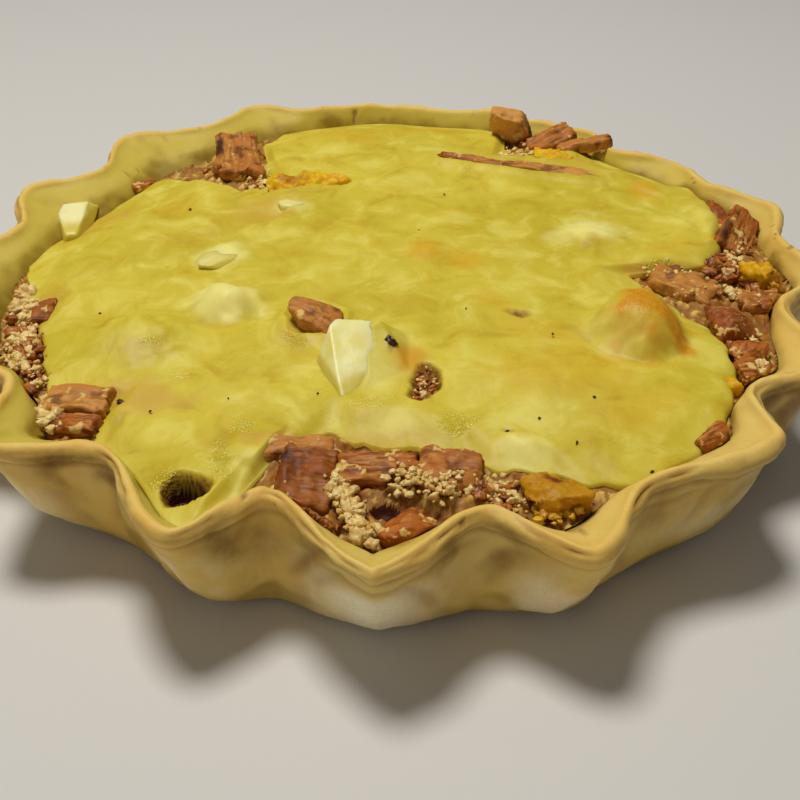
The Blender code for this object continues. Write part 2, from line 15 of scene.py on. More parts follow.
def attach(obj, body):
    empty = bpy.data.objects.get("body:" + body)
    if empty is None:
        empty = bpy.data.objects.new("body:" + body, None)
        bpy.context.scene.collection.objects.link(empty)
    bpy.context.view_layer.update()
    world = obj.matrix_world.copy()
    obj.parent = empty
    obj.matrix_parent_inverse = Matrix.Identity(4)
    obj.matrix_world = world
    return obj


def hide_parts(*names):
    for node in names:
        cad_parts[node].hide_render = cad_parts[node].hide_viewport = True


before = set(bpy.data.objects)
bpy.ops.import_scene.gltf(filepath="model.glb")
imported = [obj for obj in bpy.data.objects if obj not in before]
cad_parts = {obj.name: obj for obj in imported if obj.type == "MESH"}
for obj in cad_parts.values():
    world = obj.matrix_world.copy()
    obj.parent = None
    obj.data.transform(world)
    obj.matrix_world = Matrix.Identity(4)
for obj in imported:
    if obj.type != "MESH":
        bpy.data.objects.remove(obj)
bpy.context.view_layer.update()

MM = 0.001
BODY = "root"

# Driving dimensions of the case
RIM_HEIGHT = 36.0
RIM_RIPPLE = 0.3
REAR_LIFT = 0.8
BASE_RADIUS = 100.6
BASE_SHIFT = 5.0
RIM_MEAN_RADIUS = 115.0
BASE_WAVE_SHARE = 0.2
WALL_BULGE = 0.85
DOUGH = 4.0
MAX_SLANT = 1.9
FOOT_TUCK = 4.0
FLOOR_FILLET = 2.5
RIM_DROP_FROM = 26.0
RIM_DROP_SPAN = 8.0
SLANT_STEP = 0.6

# The rim's folds in turn: bearing, radius of the rim's outer edge, sharpness of the tip, and how
# far the dough reaches inward inside the fold
FOLDS = np.array([
    (8.6, 119.7, 0, 0.5), (17.5, 127, 0, 6), (29.3, 118.2, 0, 1),
    (36.5, 121, 0, 10), (45.5, 112.8, 0.1, 1), (53, 119.5, 0, 3),
    (62.5, 118, 0, 3), (69.5, 120.5, 0, 0.5), (79.8, 118, 0, 0.3),
    (90.6, 120.7, 0, 0), (102.5, 118.8, 0, 0.5), (111, 125.8, 0.1, 10),
    (121, 117, 0, 9), (134, 125.6, 0.1, 19), (144.9, 111.3, 0.4, 8.5),
    (155.5, 121.8, 0.1, 20), (166.9, 110.1, 0.2, 5.5), (178, 122, 0.1, 15),
    (189, 109.5, 0.2, 1), (200, 120.5, 0.1, 12), (210.5, 104.6, 0.2, 1),
    (222, 119.5, 0, 12), (233.7, 102.9, 0.1, 1), (249.5, 118.8, 0.1, 3),
    (257.5, 100.6, 0.3, 0), (270.5, 123.3, 0.7, 9), (282.8, 106.7, 0.1, 0.5),
    (291.8, 125.7, 0.2, 12), (303.5, 112.3, 0.1, 2), (320, 121.8, 0, 10),
    (327.9, 109.6, 0.2, 1), (338, 123.5, 0.1, 12), (350, 111.5, 0.2, 0.5),
    (359.5, 123, 0, 2),
])

# The share of that reach that the dough has at a height
REACH_HEIGHTS = (4.0, 10.0, 26.0, 32.5, 34.5)
REACH_SHARES = (0.5, 0.7, 0.85, 0.55, 0.0)

# Section of the case from the underside over the cut edge to the floor inside: height, share of
# the dough crossed from the outer face, outward shift
SECTION = np.array([
    (0, 0, -FOOT_TUCK), (0.25, 0, -2.4), (1.5, 0, -0.9), (6, 0, 0), (17, 0, 0),
    (30.6, 0, -0.1), (31.5, 0, -0.55), (32.2, 0, 0.1), (33.8, 0.04, 0.25), (35.4, 0.38, 0),
    (36, 0.72, 0), (35.1, 0.97, 0), (32.5, 1, 0), (26, 1, 0), (10, 1, 0),
    (DOUGH, 1, -FLOOR_FILLET),
])
INNER_HIGH = 32.5
INNER_LOW = 26.0

# Filling and cheese
GAP = 0.3
FILL_EDGE_HEIGHT = 29.2
FILL_CROWN = 4.2
FILL_CROWN_RADIUS = 108.0
FILL_LEAN_X = 1.4
FILL_LEAN_Y = 0.6
FILL_DIP = (-84, 52, 42, 1.7)
CHEESE_THICKNESS = 2.7
SHEET_GAP = 0.5
SHEET_DEPTH = 8.0
CHEESE_WALL_GAP = -0.6
CHEESE_LIP = 4.0
THIN_LIP = 12.0
# Where the sheet ends in a thick lip rather than a thin film: bearing, share
THICK_LIPS = np.array([
    (0, 0), (5, 0.4), (10, 1), (28, 1), (34, 0), (130, 0), (136, 0.5), (150, 0),
    (185, 0), (192, 0.5), (206, 0.3), (214, 0), (290, 0), (318, 0.6), (326, 1),
    (337, 1), (343, 0.2),
])

# Edge of the melted cheese: bearing, radius
CHEESE_EDGE = np.array([
    (0, 70), (4.5, 92), (10, 100), (16.3, 105.6), (24, 110), (32.5, 113.5),
    (36, 112), (44.7, 112), (53, 112), (58, 98), (64, 95), (68, 112),
    (80, 117), (90, 117), (99, 117), (106, 112), (112, 104), (116, 84),
    (121.8, 68), (128, 71), (132, 82), (135.5, 98), (142, 104), (154, 104),
    (168, 102), (180, 97.5), (191, 92.5), (198, 90), (206, 92.5), (213, 94),
    (218, 91), (222.5, 87), (227.5, 96), (236, 104), (242, 112), (248, 112),
    (252, 98), (255, 82), (262, 71.8), (269, 75), (276.5, 76.5), (285, 82.5),
    (290, 89.5), (295.5, 95), (299, 102), (306, 108), (315, 110), (324, 104.5),
    (331.5, 101), (337.5, 96.5), (342.5, 92), (346, 84), (351, 78.5), (356, 73),
])

# Swells in the cheese over egg and yolk beneath it: x, y, radius, height, how round the top is
SWELLS = [
    (67, -32, 14, 9.5, 1.7), (-38.5, -18, 12, 5.4, 1.15), (-59.5, -34, 15, 4, 1.3),
    (62, 16, 13, 3, 1), (33, -80, 10, 2.4, 1), (13.6, 7.5, 8, 1, 1),
    (-72, 22, 22, 1.5, 1), (44, -52, 30, 2, 1), (-14, 92, 16, 1.6, 1),
    (-43, 7, 9, 1.2, 1), (88, 22, 12, 1.2, 1), (24, -8, 12, 0.8, 1),
    (-84, 4, 12, 1.4, 1), (-52, 52, 14, 1, 1), (80, 62, 14, 1.2, 1),
]
# Cheese heaped up round a piece that it has run against: x, y, radius, height, width
RINGS = [(-15.5, -28, 8, 1.5, 2.2), (-84.5, -56, 7, 0.8, 3)]

# Edges of one slice over another: points, height of the step, to the left of the line's way
SLICE_STEPS = [
    ([(-40, 45), (-31, 48.5), (-21, 49.5), (-10, 51.5), (-3, 57), (4, 66)], -1.5),
    ([(-74, 50), (-62, 59), (-50, 60), (-40, 52)], -1),
    ([(-50, 11.5), (-42, 16), (-33.2, 21.5), (-28.1, 31), (-22.9, 42)], -1.5),
    ([(97, 16), (92.5, 30.9), (85.3, 44.2), (75.5, 57)], -1.1),
    ([(54, 34), (66, 31), (82, 29.5), (96, 18.5)], 0.9),
]
# How wide such a step is, and how far from it the slice is still raised
STEP_SLOPE = 2.2
STEP_REACH = 16.0
# Creases where slices or lumps meet: points, depth, half width
CREASES = [
    ([(-47, -12.5), (-41.4, -9.5), (-36.5, -13.2), (-30.5, -23.1), (-23.3, -30)], 1.5, 3),
    ([(-66, -21), (-59, -25.5), (-51, -33)], 0.9, 2.2),
    ([(6.5, 71.8), (19.3, 65), (30.3, 54.7), (43.3, 45.6), (54.5, 35.5), (59, 26)], 0.8, 4),
    ([(50, 20), (55, 14), (61, 6)], 0.7, 2),
    ([(-8, 62), (2, 66), (14, 74)], 0.7, 2.2),
    ([(58, -12), (52, -26), (58, -42), (70, -46)], 0.6, 4),
]
# Hollows in the cheese: x, y, half sizes, depth
HOLES = [
    (-40.6, -89.6, 4.5, 3.1, 9), (13, -53.5, 3, 4.6, 2.8), (11.4, -59, 2.2, 2.6, 2),
    (37.5, -24.4, 3.6, 1.5, 0.9), (30.8, -73.6, 1.8, 1, 0.5), (3.8, -43, 1.8, 2.6, 0.6),
]

# The first of them is deep and painted dark inside as shade, within this of its middle
SHADED_HOLE_REACH = 12.0

# Where the cheese runs up over the egg wedge in the middle
FILM_LEFT = -3.5
FILM_RIGHT = 10.5
FILM_MIDDLE = (1.0, -47.0)
FILM_REACH = 13.0
FILM_THICKNESS = 0.45

# How far the cheese and the curds rise round the ham
RISE_REACH = 4.5
CHEESE_RISE = 1.3
CURD_RISE = 1.7

# Where a hollow opens in the filling: x, y, z, half sizes
PITS = [(-40.6, -88.6, 31, 7, 4.6, 6.5), (3.2, -95.5, 31.5, 3.6, 2.4, 4.5)]

# Tints of the cheese: x, y, half sizes, turn, strength
GOLD_SPOTS = [
    (24.5, 2, 8, 6, -20, 0.8), (30.2, -19, 7, 4, -40, 0.5), (-9.6, 90, 8, 4, 8, 0.7),
    (20.2, 100, 14, 4, -4, 0.9), (82, 49, 6, 8, -30, 0.9), (48, -50, 24, 14, 5, 0.45),
    (42, -34, 16, 8, -30, 0.35), (13.6, 7, 6, 6.5, 0, 0.9), (60, -66, 18, 9, 20, 0.35),
    (9.5, -46.5, 5, 7, 0, 0.7), (-12, 96, 30, 5, 5, 0.35), (-62, 40, 9, 5, 0, 0.35),
    (82, 12, 12, 6, 20, 0.3),
]
BLISTER_SPOTS = [
    (68.8, -33, 10.5, 11.5, 0, 1), (75.5, -36.5, 5, 8, 12, 1), (37.5, -24.4, 4, 1.8, 0, 0.5),
    (8.6, -45, 4.2, 5, 0, 0.35),
]
# Pale spots: partly pale cheese over egg, and partly painted light on the sides of the mound and humps that
# lie in shade.
PALE_AND_LIT_SPOTS = [
    (62, 20, 10, 9, 0, 1), (52.4, 16.5, 7, 5, 0, 0.5), (-43, 8, 8, 7, 20, 1),
    (-39, -18.5, 10.5, 9, -15, 1), (33.5, -79.5, 7, 5, 0, 0.9), (1, -52, 6, 8, 0, 0.4),
    (-26, 36.5, 7, 6, 0, 0.6), (-62, -39, 11, 7, 0, 0.3), (38, -67, 16, 8, 0, 0.15),
    (61, -41, 9, 7, 0, 0.3), (55, -34, 6, 8, 0, 0.3),
]
PINK_SPOTS = [
    (-57, -56.5, 15, 8, -8, 0.9), (74, -0.5, 9, 5, -20, 0.9), (-12, -75, 26, 4, 4, 0.8),
    (52, 66, 22, 6, -16, 0.7), (-34, 36, 14, 12, 20, 0.8), (-84, 38, 16, 7, 38, 0.7),
    (-50, 22, 16, 5, 20, 0.4), (88, 4, 7, 5, 0, 0.5), (-18.6, -36, 9, 8, 0, 0.4),
    (8.5, -46, 5, 7, 0, 0.9), (-88, -12, 6, 14, 0, 0.5), (66, 70, 12, 6, -30, 0.5),
]
# Places where the cheese is finely blistered and glitters: x, y, half sizes, turn, strength
GRAIN_SPOTS = [
    (-45.3, -86.5, 4.5, 4, 0, 1), (-33.3, -82, 3.4, 8, 10, 1), (-29.5, -71.2, 4.5, 5, 0, 0.9),
    (-66, -59, 8, 4, 0, 0.8), (-19.6, -36.6, 4, 6, 0, 0.7), (-48.5, 4, 3, 4, 0, 0.9),
    (20, -70, 6, 4, 0, 0.7), (-55.6, -39, 4, 2, 0, 0.5), (68.5, -31, 9, 9, 0, 0.35),
    (78, 4, 8, 3, 0, 0.8), (-46.9, -50, 6, 3, 0, 0.5), (0, -62, 8, 4, 0, 0.4),
]

# Charred tips of the ham: x, y, half sizes, turn, strength
CHARRED = [
    (50, 98.5, 3.6, 4.6, 0, 1), (76.6, 84, 2.6, 3, 0, 1), (-52.5, 79, 1.6, 7, 6, 0.9),
    (-84.6, -26.5, 3.6, 2.2, 0, 1), (82.5, -73.5, 2, 2, 0, 1), (-18.6, -84, 2.2, 2, 0, 0.9),
    (112, -5, 3, 2.6, 0, 0.9), (-10.2, -34, 2, 1.4, 0, 0.8), (100, 19, 2, 7, -20, 0.8),
]

# Pieces of ham, egg and yolk. A lump has: centre, size, turn about x, y and z, seed.
# A slice has: centre, length, width, thickness, turn about x, y and z, curl in degrees, seed
HAM_LUMPS = {
    "ham_middle": ((-15.2, -28.6, 36.6), (12.5, 9, 8), (10, 0, -25), 11),
    "ham_rear_chunk": ((44.4, 97.4, 36.2), (13.5, 8.5, 12), (20, 8, -8), 12),
    "ham_rear_crumb": ((-75.2, 65, 28.4), (8.5, 5.5, 5), (0, 0, 30), 13),
    "ham_right_dice": ((91.4, -25.6, 33.6), (10.5, 11, 8), (0, 10, 20), 14),
    "ham_right_low": ((94, -37.2, 32), (7.5, 8.5, 5.5), (0, 0, 60), 15),
    "ham_right_string": ((92.2, -46, 31.6), (4.4, 10.5, 4.4), (0, 0, 8), 19),
    "ham_left_shred": ((-88.2, -15, 30.4), (6, 10, 4), (0, 0, 10), 16),
    "ham_front_tip": ((8.2, -103.5, 30.6), (11, 8, 6), (0, 0, 10), 17),
    "ham_front_shred": ((78.2, -73, 31.8), (9.5, 5, 5), (0, 0, 35), 18),
}
HAM_SLICES = {
    "ham_rear_left": ((-46.2, 75.5, 33.6), 26, 14, 4.4, (6, -4, 100), -26, 21),
    "ham_rear_strip_inner": ((57, 89, 35), 17, 8, 4.5, (10, -10, 30), 20, 22),
    "ham_rear_strip_outer": ((67.5, 82.2, 36), 18, 5, 4, (0, -8, 8), 10, 23),
    "ham_long_strip": ((44.6, 65, 35.9), 52, 6, 3.2, (0, 1, -16), 4, 24),
    "ham_right_rear": ((99.6, 31.6, 34), 19, 8, 3.6, (24, 4, -80), 20, 25),
    "ham_right_upright": ((105, 23, 34.6), 19, 10, 3.6, (34, -10, 64), 20, 26),
    "ham_right_slab": ((83.4, -6.8, 34), 17, 11, 4.2, (4, 8, -28), 12, 27),
    "ham_right_outer": ((103.2, -13.2, 32), 13, 9, 4, (0, 6, 12), 10, 28),
    "ham_left_upper": ((-70.5, -57.5, 31.6), 16, 9, 3.4, (4, -4, -8), 8, 30),
    "ham_left_lower": ((-70, -66, 30.6), 13, 5.5, 3.6, (0, -4, -12), 10, 31),
    "ham_front_strip": ((-19, -77, 32.4), 21, 6.5, 2.6, (8, 2, 2), 8, 32),
    "ham_front_left": ((-14, -88.5, 32.2), 12.5, 17, 4.4, (14, 4, -6), 10, 33),
    "ham_front_middle": ((1.8, -85.4, 32.8), 18, 8.5, 4, (12, 0, 4), 14, 34),
    "ham_front_right": ((17.4, -86.4, 33), 14.5, 11.5, 4.4, (14, 0, -10), 12, 35),
}
# EGG_MIDDLE is where the largest wedge of egg stands, also for the cheese that runs up over it
EGG_MIDDLE = (-4, -48, 36)
EGG_WEDGES = {
    "egg_middle": (EGG_MIDDLE, (22, 24, 14.5), (0, 0, 0), 51),
    "egg_small": ((-42.5, 5.6, 34.3), (14, 8.5, 5), (8, 0, 14), 52),
    "egg_rear": ((-24.8, 35.6, 34.6), (8, 6.5, 6), (0, 0, 20), 53),
    "egg_left": ((-93, 37, 31), (14, 19, 6), (14, 0, 10), 54),
}
YOLK_LUMPS = {
    "yolk_rear": ((-21.6, 54.6, 33.9), (25, 14.5, 7), (0, 0, 6), 61),
    "yolk_rear_right": ((57.6, 77.4, 32.2), (13.5, 7, 6), (0, 0, -6), 62),
    "yolk_right": ((106.6, 1.2, 32.4), (10, 9, 6.5), (0, 0, 0), 63),
    "yolk_right_low": ((86.4, -50.4, 30.6), (5.5, 6.5, 5), (0, 0, 30), 64),
    "yolk_front": ((40.2, -91.8, 31.2), (12.5, 10, 6.5), (0, 0, 8), 65),
}

# Flat faces of the cut wedges of egg: outward direction, distance from the wedge's middle
EGG_FACES = {
    "egg_middle": [
        ((-0.80, -0.36, 0.48), 6.6), ((0.22, -0.36, 0.91), 2.6), ((0.64, -0.05, 0.76), 7.4),
        ((-0.05, 0.88, 0.47), 11.6), ((0.05, -0.97, 0.24), 13.4), ((0, 0, -1), 6),
        ((0.98, -0.1, 0.1), 12.5), ((-0.85, 0.50, 0.15), 10)],
    "egg_left": [
        ((0, 0, 1), 2.6), ((0, 0, -1), 3), ((1, -0.24, 0.3), 4.8),
        ((-1, -0.2, 0.4), 3.4), ((0, -1, 0.2), 9.4), ((-0.1, 1, 0.7), 5.8)],
}
EGG_ROUNDING = 34.0
HAM_ROUNDING = 24.0
CRUMB_ROUNDING = 9.0
# Half of a lump's size, and a little more because its faces cut into it
LUMP_SHARE = 0.54
HAM_LUMP_SHARE = 0.56
# Ham's noise is shifted by this for each number of its seed
HAM_SHIFT = 13.7

CURD_ON_HAM = 0.85
# The piece that is narrower at its left end, thinner at its right, and pales towards its right
TAPERED = "ham_long_strip"
# How pale or, below 0, how dark a piece of ham is, next to the others: partly its own tone, partly painted
# light on pieces whose faces lie in shade and painted shade on pieces that lie in shade
HAM_TONES_AND_SHADE = {
    "ham_rear_chunk": 0.9, "ham_left_upper": 0.5, "ham_middle": 0.35, "ham_right_slab": 0.45,
    "ham_front_strip": 0.5, "ham_front_left": -0.5, "ham_right_dice": -0.4,
    "ham_left_shred": -0.4, "ham_rear_left": 0.25, "ham_rear_strip_outer": 0.4,
    "ham_right_rear": -0.2, "ham_front_right": 0.15, "ham_right_outer": 0.3,
    "ham_rear_strip_inner": 0.2,
}
ROASTED_YOLK = [
    (40.4, -90, 3, 2.4, 0, 1), (110.5, -3, 4, 4, 0, 0.8), (-27, 55, 6, 3, 0, 0.4),
    (106, 4.5, 3, 2, 0, 0.4),
]
MILKY_YOLKS = ("yolk_front",)

# Upright pleats pressed into the outside of the wall: bearing, its lean for each millimetre of
# height, lowest and highest place, depth, half width in degrees
PLEATS = [
    (261.6, 0.24, 12, 36, 0.9, 0.8), (264.4, 0.20, 16, 33, 0.5, 0.6), (275, -0.24, 8, 30, 0.6, 1),
    (246, 0.10, 4, 20, 0.5, 1.4), (285.2, 0.16, 12, 30, 0.6, 0.9), (299.5, -0.20, 6, 24, 0.5, 1.2),
    (234.4, 0.14, 10, 34, 0.8, 0.9), (227, -0.10, 4, 24, 0.5, 1.3), (310.8, 0.10, 14, 33, 0.6, 0.9),
    (328.6, 0.12, 10, 34, 0.7, 0.9), (350.6, -0.10, 8, 33, 0.7, 1), (211, 0.10, 10, 34, 0.7, 0.9),
    (190, -0.10, 8, 33, 0.7, 1), (167.5, 0.10, 8, 34, 0.7, 0.9), (145, -0.08, 8, 34, 0.7, 0.9),
    (121.5, 0.12, 10, 33, 0.6, 1), (80, -0.12, 10, 33, 0.6, 1.1), (46, 0.10, 8, 33, 0.6, 1),
    (9, 0.08, 10, 33, 0.6, 1), (102, 0.10, 12, 30, 0.5, 1.1), (63, 0.08, 12, 30, 0.5, 1.1),
]

# Two level creases in the outside of the wall, and places round it: the pointed lobe in front, where the
# cut edge has split, where the outside is darkened with painted shade and where the inside is palest
CREASE_HEIGHT = 31.2
LOWER_CREASE_HEIGHT = 27.6
LOBE_BEARING = 270.0
SPLIT_BEARING = 277.0
SHADED_SIDE_BEARING = 334.0
CREAMY_BEARING = 325.0

# Height at which a pleat crosses its bearing, and the highest flour on the outside
PLEAT_MIDDLE = 20.0
FLOUR_TOP = 29.0

# Steps of the meshes
CASE_COLUMNS = 1000
CASE_STEP = 0.75
FILL_COLUMNS = 1000
FILL_STEP = 0.62
FILL_SEEN_FROM = 0.56
CHEESE_SIDE = 288
PIECE_STEP = 0.55

# Camera, fitted to the traced rim as a level circle
CAMERA_PLACE = (6.541, -297.144, 201.243)
CAMERA_TILT = 54.745
CAMERA_LENS = 55.31
SENSOR = 36.0

# Floor and lights, in metres
FLOOR_REACH = 3.0
FLOOR_HEIGHT = -0.0002
LIGHT_AIM = (0.0, 0.0, 0.03)


# Noise

def smoothstep(value):
    value = np.clip(value, 0.0, 1.0)
    return value * value * (3.0 - 2.0 * value)


def lattice(spot, seed):
    """A repeatable random number from 0 to 1 for each corner of a lattice of whole numbers."""
    n = spot[:, 0] * 374761393 + spot[:, 1] * 668265263 + spot[:, 2] * 1103515245 + seed * 97463477
    n = n & 0xFFFFFFFF
    n = ((n ^ (n >> 13)) * 1274126177) & 0xFFFFFFFF
    n = ((n ^ (n >> 16)) * 668265263) & 0xFFFFFFFF
    return ((n ^ (n >> 15)) & 0xFFFFFF) / float(0xFFFFFF)


def ripple(points, size, seed):
    """Smooth noise from about -1 to 1, with bumps of the given size."""
    spot = points / size
    base = np.floor(spot).astype(np.int64)
    part = spot - base
    ease = part ** 3 * (part * (part * 6.0 - 15.0) + 10.0)
    total = np.zeros(len(points))
    for corner in product((0, 1), repeat=3):
        offset = np.array(corner)
        way = part - offset
        pull = sum(way[:, axis] * (2.0 * lattice(base + offset, seed + 31 * axis) - 1.0)
                   for axis in range(3))
        total += np.prod(np.where(offset == 1, ease, 1.0 - ease), axis=1) * pull
    return total * 1.7


def layers(points, size, seed, count=3):
    """Noise in layers, each half the size and half the height of the one before."""
    return sum(ripple(points, size / 2 ** n, seed + 101 * n) / 2 ** n for n in range(count))


def cells(points, size, seed, flat=False):
    """Distances to the nearest and the second nearest of scattered points, in cell sizes."""
    spot = points / size
    base = np.floor(spot).astype(np.int64)
    near = np.full(len(points), 9.0)
    second = np.full(len(points), 9.0)
    for offset in product((-1, 0, 1), (-1, 0, 1), (0,) if flat else (-1, 0, 1)):
        corner = base + np.array(offset)
        inside = np.stack([lattice(corner, seed + 17 * axis) for axis in range(3)], axis=1)
        if flat:
            inside[:, 2] = 0.0
        gap = np.linalg.norm(corner + inside - spot, axis=1)
        second = np.minimum(second, np.maximum(near, gap))
        near = np.minimum(near, gap)
    return near, second


def plan(x, y, height=0.0):
    return np.stack([x, y, np.full_like(x, height)], axis=1)


def spots(x, y, table, warp=0.25, seed=5):
    """Strength from 0 to 1 of soft elliptical spots with uneven borders."""
    bend = layers(plan(x, y), 7.0, seed) * warp
    total = np.zeros_like(x)
    for centre_x, centre_y, half_x, half_y, turn, strength in table:
        c, s = cos(radians(turn)), sin(radians(turn))
        along = ((x - centre_x) * c + (y - centre_y) * s) / half_x
        across = ((y - centre_y) * c - (x - centre_x) * s) / half_y
        total = np.maximum(total, strength * smoothstep(1.25 - np.hypot(along, across) + bend))
    return total


def beside_line(x, y, line):
    """Distance to a line of points, the side of it, and how far along it the nearest place is."""
    best = np.full_like(x, 1e9)
    side = np.zeros_like(x)
    share = np.zeros_like(x)
    count = len(line) - 1
    for index, (start, end) in enumerate(zip(line, line[1:])):
        run_x, run_y = end[0] - start[0], end[1] - start[1]
        way = ((x - start[0]) * run_x + (y - start[1]) * run_y) / (run_x ** 2 + run_y ** 2)
        held = np.clip(way, 0.0, 1.0)
        gap_x, gap_y = x - start[0] - held * run_x, y - start[1] - held * run_y
        gap = np.hypot(gap_x, gap_y)
        closer = gap < best
        best = np.where(closer, gap, best)
        side = np.where(closer, np.sign(run_x * gap_y - run_y * gap_x), side)
        share = np.where(closer, (index + held) / count, share)
    return best, side, share


def faded(share, reach):
    """1 along a line, and less towards its two ends."""
    return smoothstep(share / reach) * smoothstep((1.0 - share) / reach)


def bearing_of(x, y):
    return np.degrees(np.arctan2(y, x))


def unit_length(vectors):
    return vectors / np.maximum(np.linalg.norm(vectors, axis=-1, keepdims=True), 1e-9)


def length_run(steps):
    """How far along a line each point is, from the steps between its points."""
    return np.concatenate([[0.0], np.cumsum(steps)])


# Form of the case, the filling and the cheese

def between(table, bearing):
    """The rows of a table on both sides of each bearing, and the share of the way between."""
    bearing = np.asarray(bearing) % 360.0
    index = (np.searchsorted(table[:, 0], bearing, side="right") - 1) % len(table)
    here, after = table[index], table[(index + 1) % len(table)]
    span = (after[..., 0] - here[..., 0]) % 360.0
    return here, after, ((bearing - here[..., 0]) % 360.0) / span


def column_at(table, column, bearing):
    """A column of a table at each bearing, eased from row to row."""
    here, after, share = between(table, bearing)
    return here[..., column] + (after[..., column] - here[..., column]) * smoothstep(share)


def rim_radius(bearing):
    here, after, share = between(FOLDS, bearing)
    wave = (1.0 - np.cos(pi * share)) / 2.0
    sharp = here[..., 2] + (after[..., 2] - here[..., 2]) * share
    return here[..., 1] + (after[..., 1] - here[..., 1]) * (wave + sharp * (share - wave))


def wall_rise(z):
    return np.clip(z / RIM_HEIGHT, 0.0, 1.0) ** WALL_BULGE


def outer_radius(bearing, z):
    rim = rim_radius(bearing)
    shift = BASE_SHIFT * np.cos(np.radians(bearing))
    base = BASE_RADIUS + shift + BASE_WAVE_SHARE * (rim - RIM_MEAN_RADIUS)
    return base + (rim - base) * wall_rise(z)


def slant(bearing, z):
    """How much longer a level line through the wall is than the wall is thick."""
    rise = rim_radius(bearing + SLANT_STEP) - rim_radius(bearing - SLANT_STEP)
    change = rise / radians(2.0 * SLANT_STEP)
    share = BASE_WAVE_SHARE + (1.0 - BASE_WAVE_SHARE) * wall_rise(z)
    slope = change * share / outer_radius(bearing, z)
    return np.minimum(np.sqrt(1.0 + slope * slope), MAX_SLANT)


def inner_radius(bearing, z):
    reach = column_at(FOLDS, 3, bearing) * np.interp(z, REACH_HEIGHTS, REACH_SHARES)
    return outer_radius(bearing, z) - DOUGH * slant(bearing, z) - reach


def rim_drop(bearing):
    turn = np.radians(bearing)
    wave = 0.6 * np.sin(3.0 * turn + 0.7) + 0.4 * np.sin(7.0 * turn + 0.2)
    return RIM_RIPPLE * (1.0 - wave) - REAR_LIFT * np.maximum(np.sin(turn), 0.0)


def wall_face(bearing, z):
    """Radius of the case's inner face, which is straight between two heights of its section."""
    top, foot = inner_radius(bearing, INNER_HIGH), inner_radius(bearing, INNER_LOW)
    return foot + (top - foot) * (z - INNER_LOW) / (INNER_HIGH - INNER_LOW)


def fill_level(x, y):
    crown = 1.0 - np.minimum((x * x + y * y) / FILL_CROWN_RADIUS ** 2, 1.4)
    lean = FILL_LEAN_X * x / 100.0 + FILL_LEAN_Y * y / 100.0
    dip_x, dip_y, reach, depth = FILL_DIP
    dip = depth * smoothstep(1.0 - np.hypot(x - dip_x, y - dip_y) / reach)
    return FILL_EDGE_HEIGHT + FILL_CROWN * crown + lean - dip


def fill_edge(bearing):
    """Radius of the filling's upper border against the wall."""
    radius = wall_face(bearing, FILL_EDGE_HEIGHT)
    z = fill_level(radius * np.cos(np.radians(bearing)), radius * np.sin(np.radians(bearing)))
    return wall_face(bearing, z) - GAP * slant(bearing, z)


def cheese_edge(bearing):
    return column_at(CHEESE_EDGE, 1, bearing)


def cheese_radius(bearing):
    return np.minimum(cheese_edge(bearing), fill_edge(bearing) - CHEESE_WALL_GAP)


def ragged_border(bearing):
    turn = np.radians(bearing)
    ragged = layers(plan(90.0 * np.cos(turn), 90.0 * np.sin(turn), 40.0), 11.0, 71, 4) * 1.7
    free = smoothstep((fill_edge(bearing) - cheese_edge(bearing) - 1.0) / 2.0)
    return ragged * free


def risen_round(x, y):
    """How far the cheese or the curds have risen round the ham that stands in them, from 0 to 1."""
    total = np.zeros_like(x)
    for centre, length, width, _, turn, _, _ in HAM_SLICES.values():
        c, s = cos(radians(turn[2])), sin(radians(turn[2]))
        along = np.abs((x - centre[0]) * c + (y - centre[1]) * s) - length / 2.0
        across = np.abs((y - centre[1]) * c - (x - centre[0]) * s) - width / 2.0
        gap = np.hypot(np.maximum(along, 0.0), np.maximum(across, 0.0))
        total = np.maximum(total, smoothstep(1.0 - gap / RISE_REACH))
    return total


def egg_height(x, y):
    """Height of the upper faces of the egg wedge in the middle."""
    heights = [(reach - n[0] * (x - EGG_MIDDLE[0]) - n[1] * (y - EGG_MIDDLE[1])) / n[2]
               for n, reach in EGG_FACES["egg_middle"] if n[2] > 0.0]
    return EGG_MIDDLE[2] + np.minimum.reduce(heights)


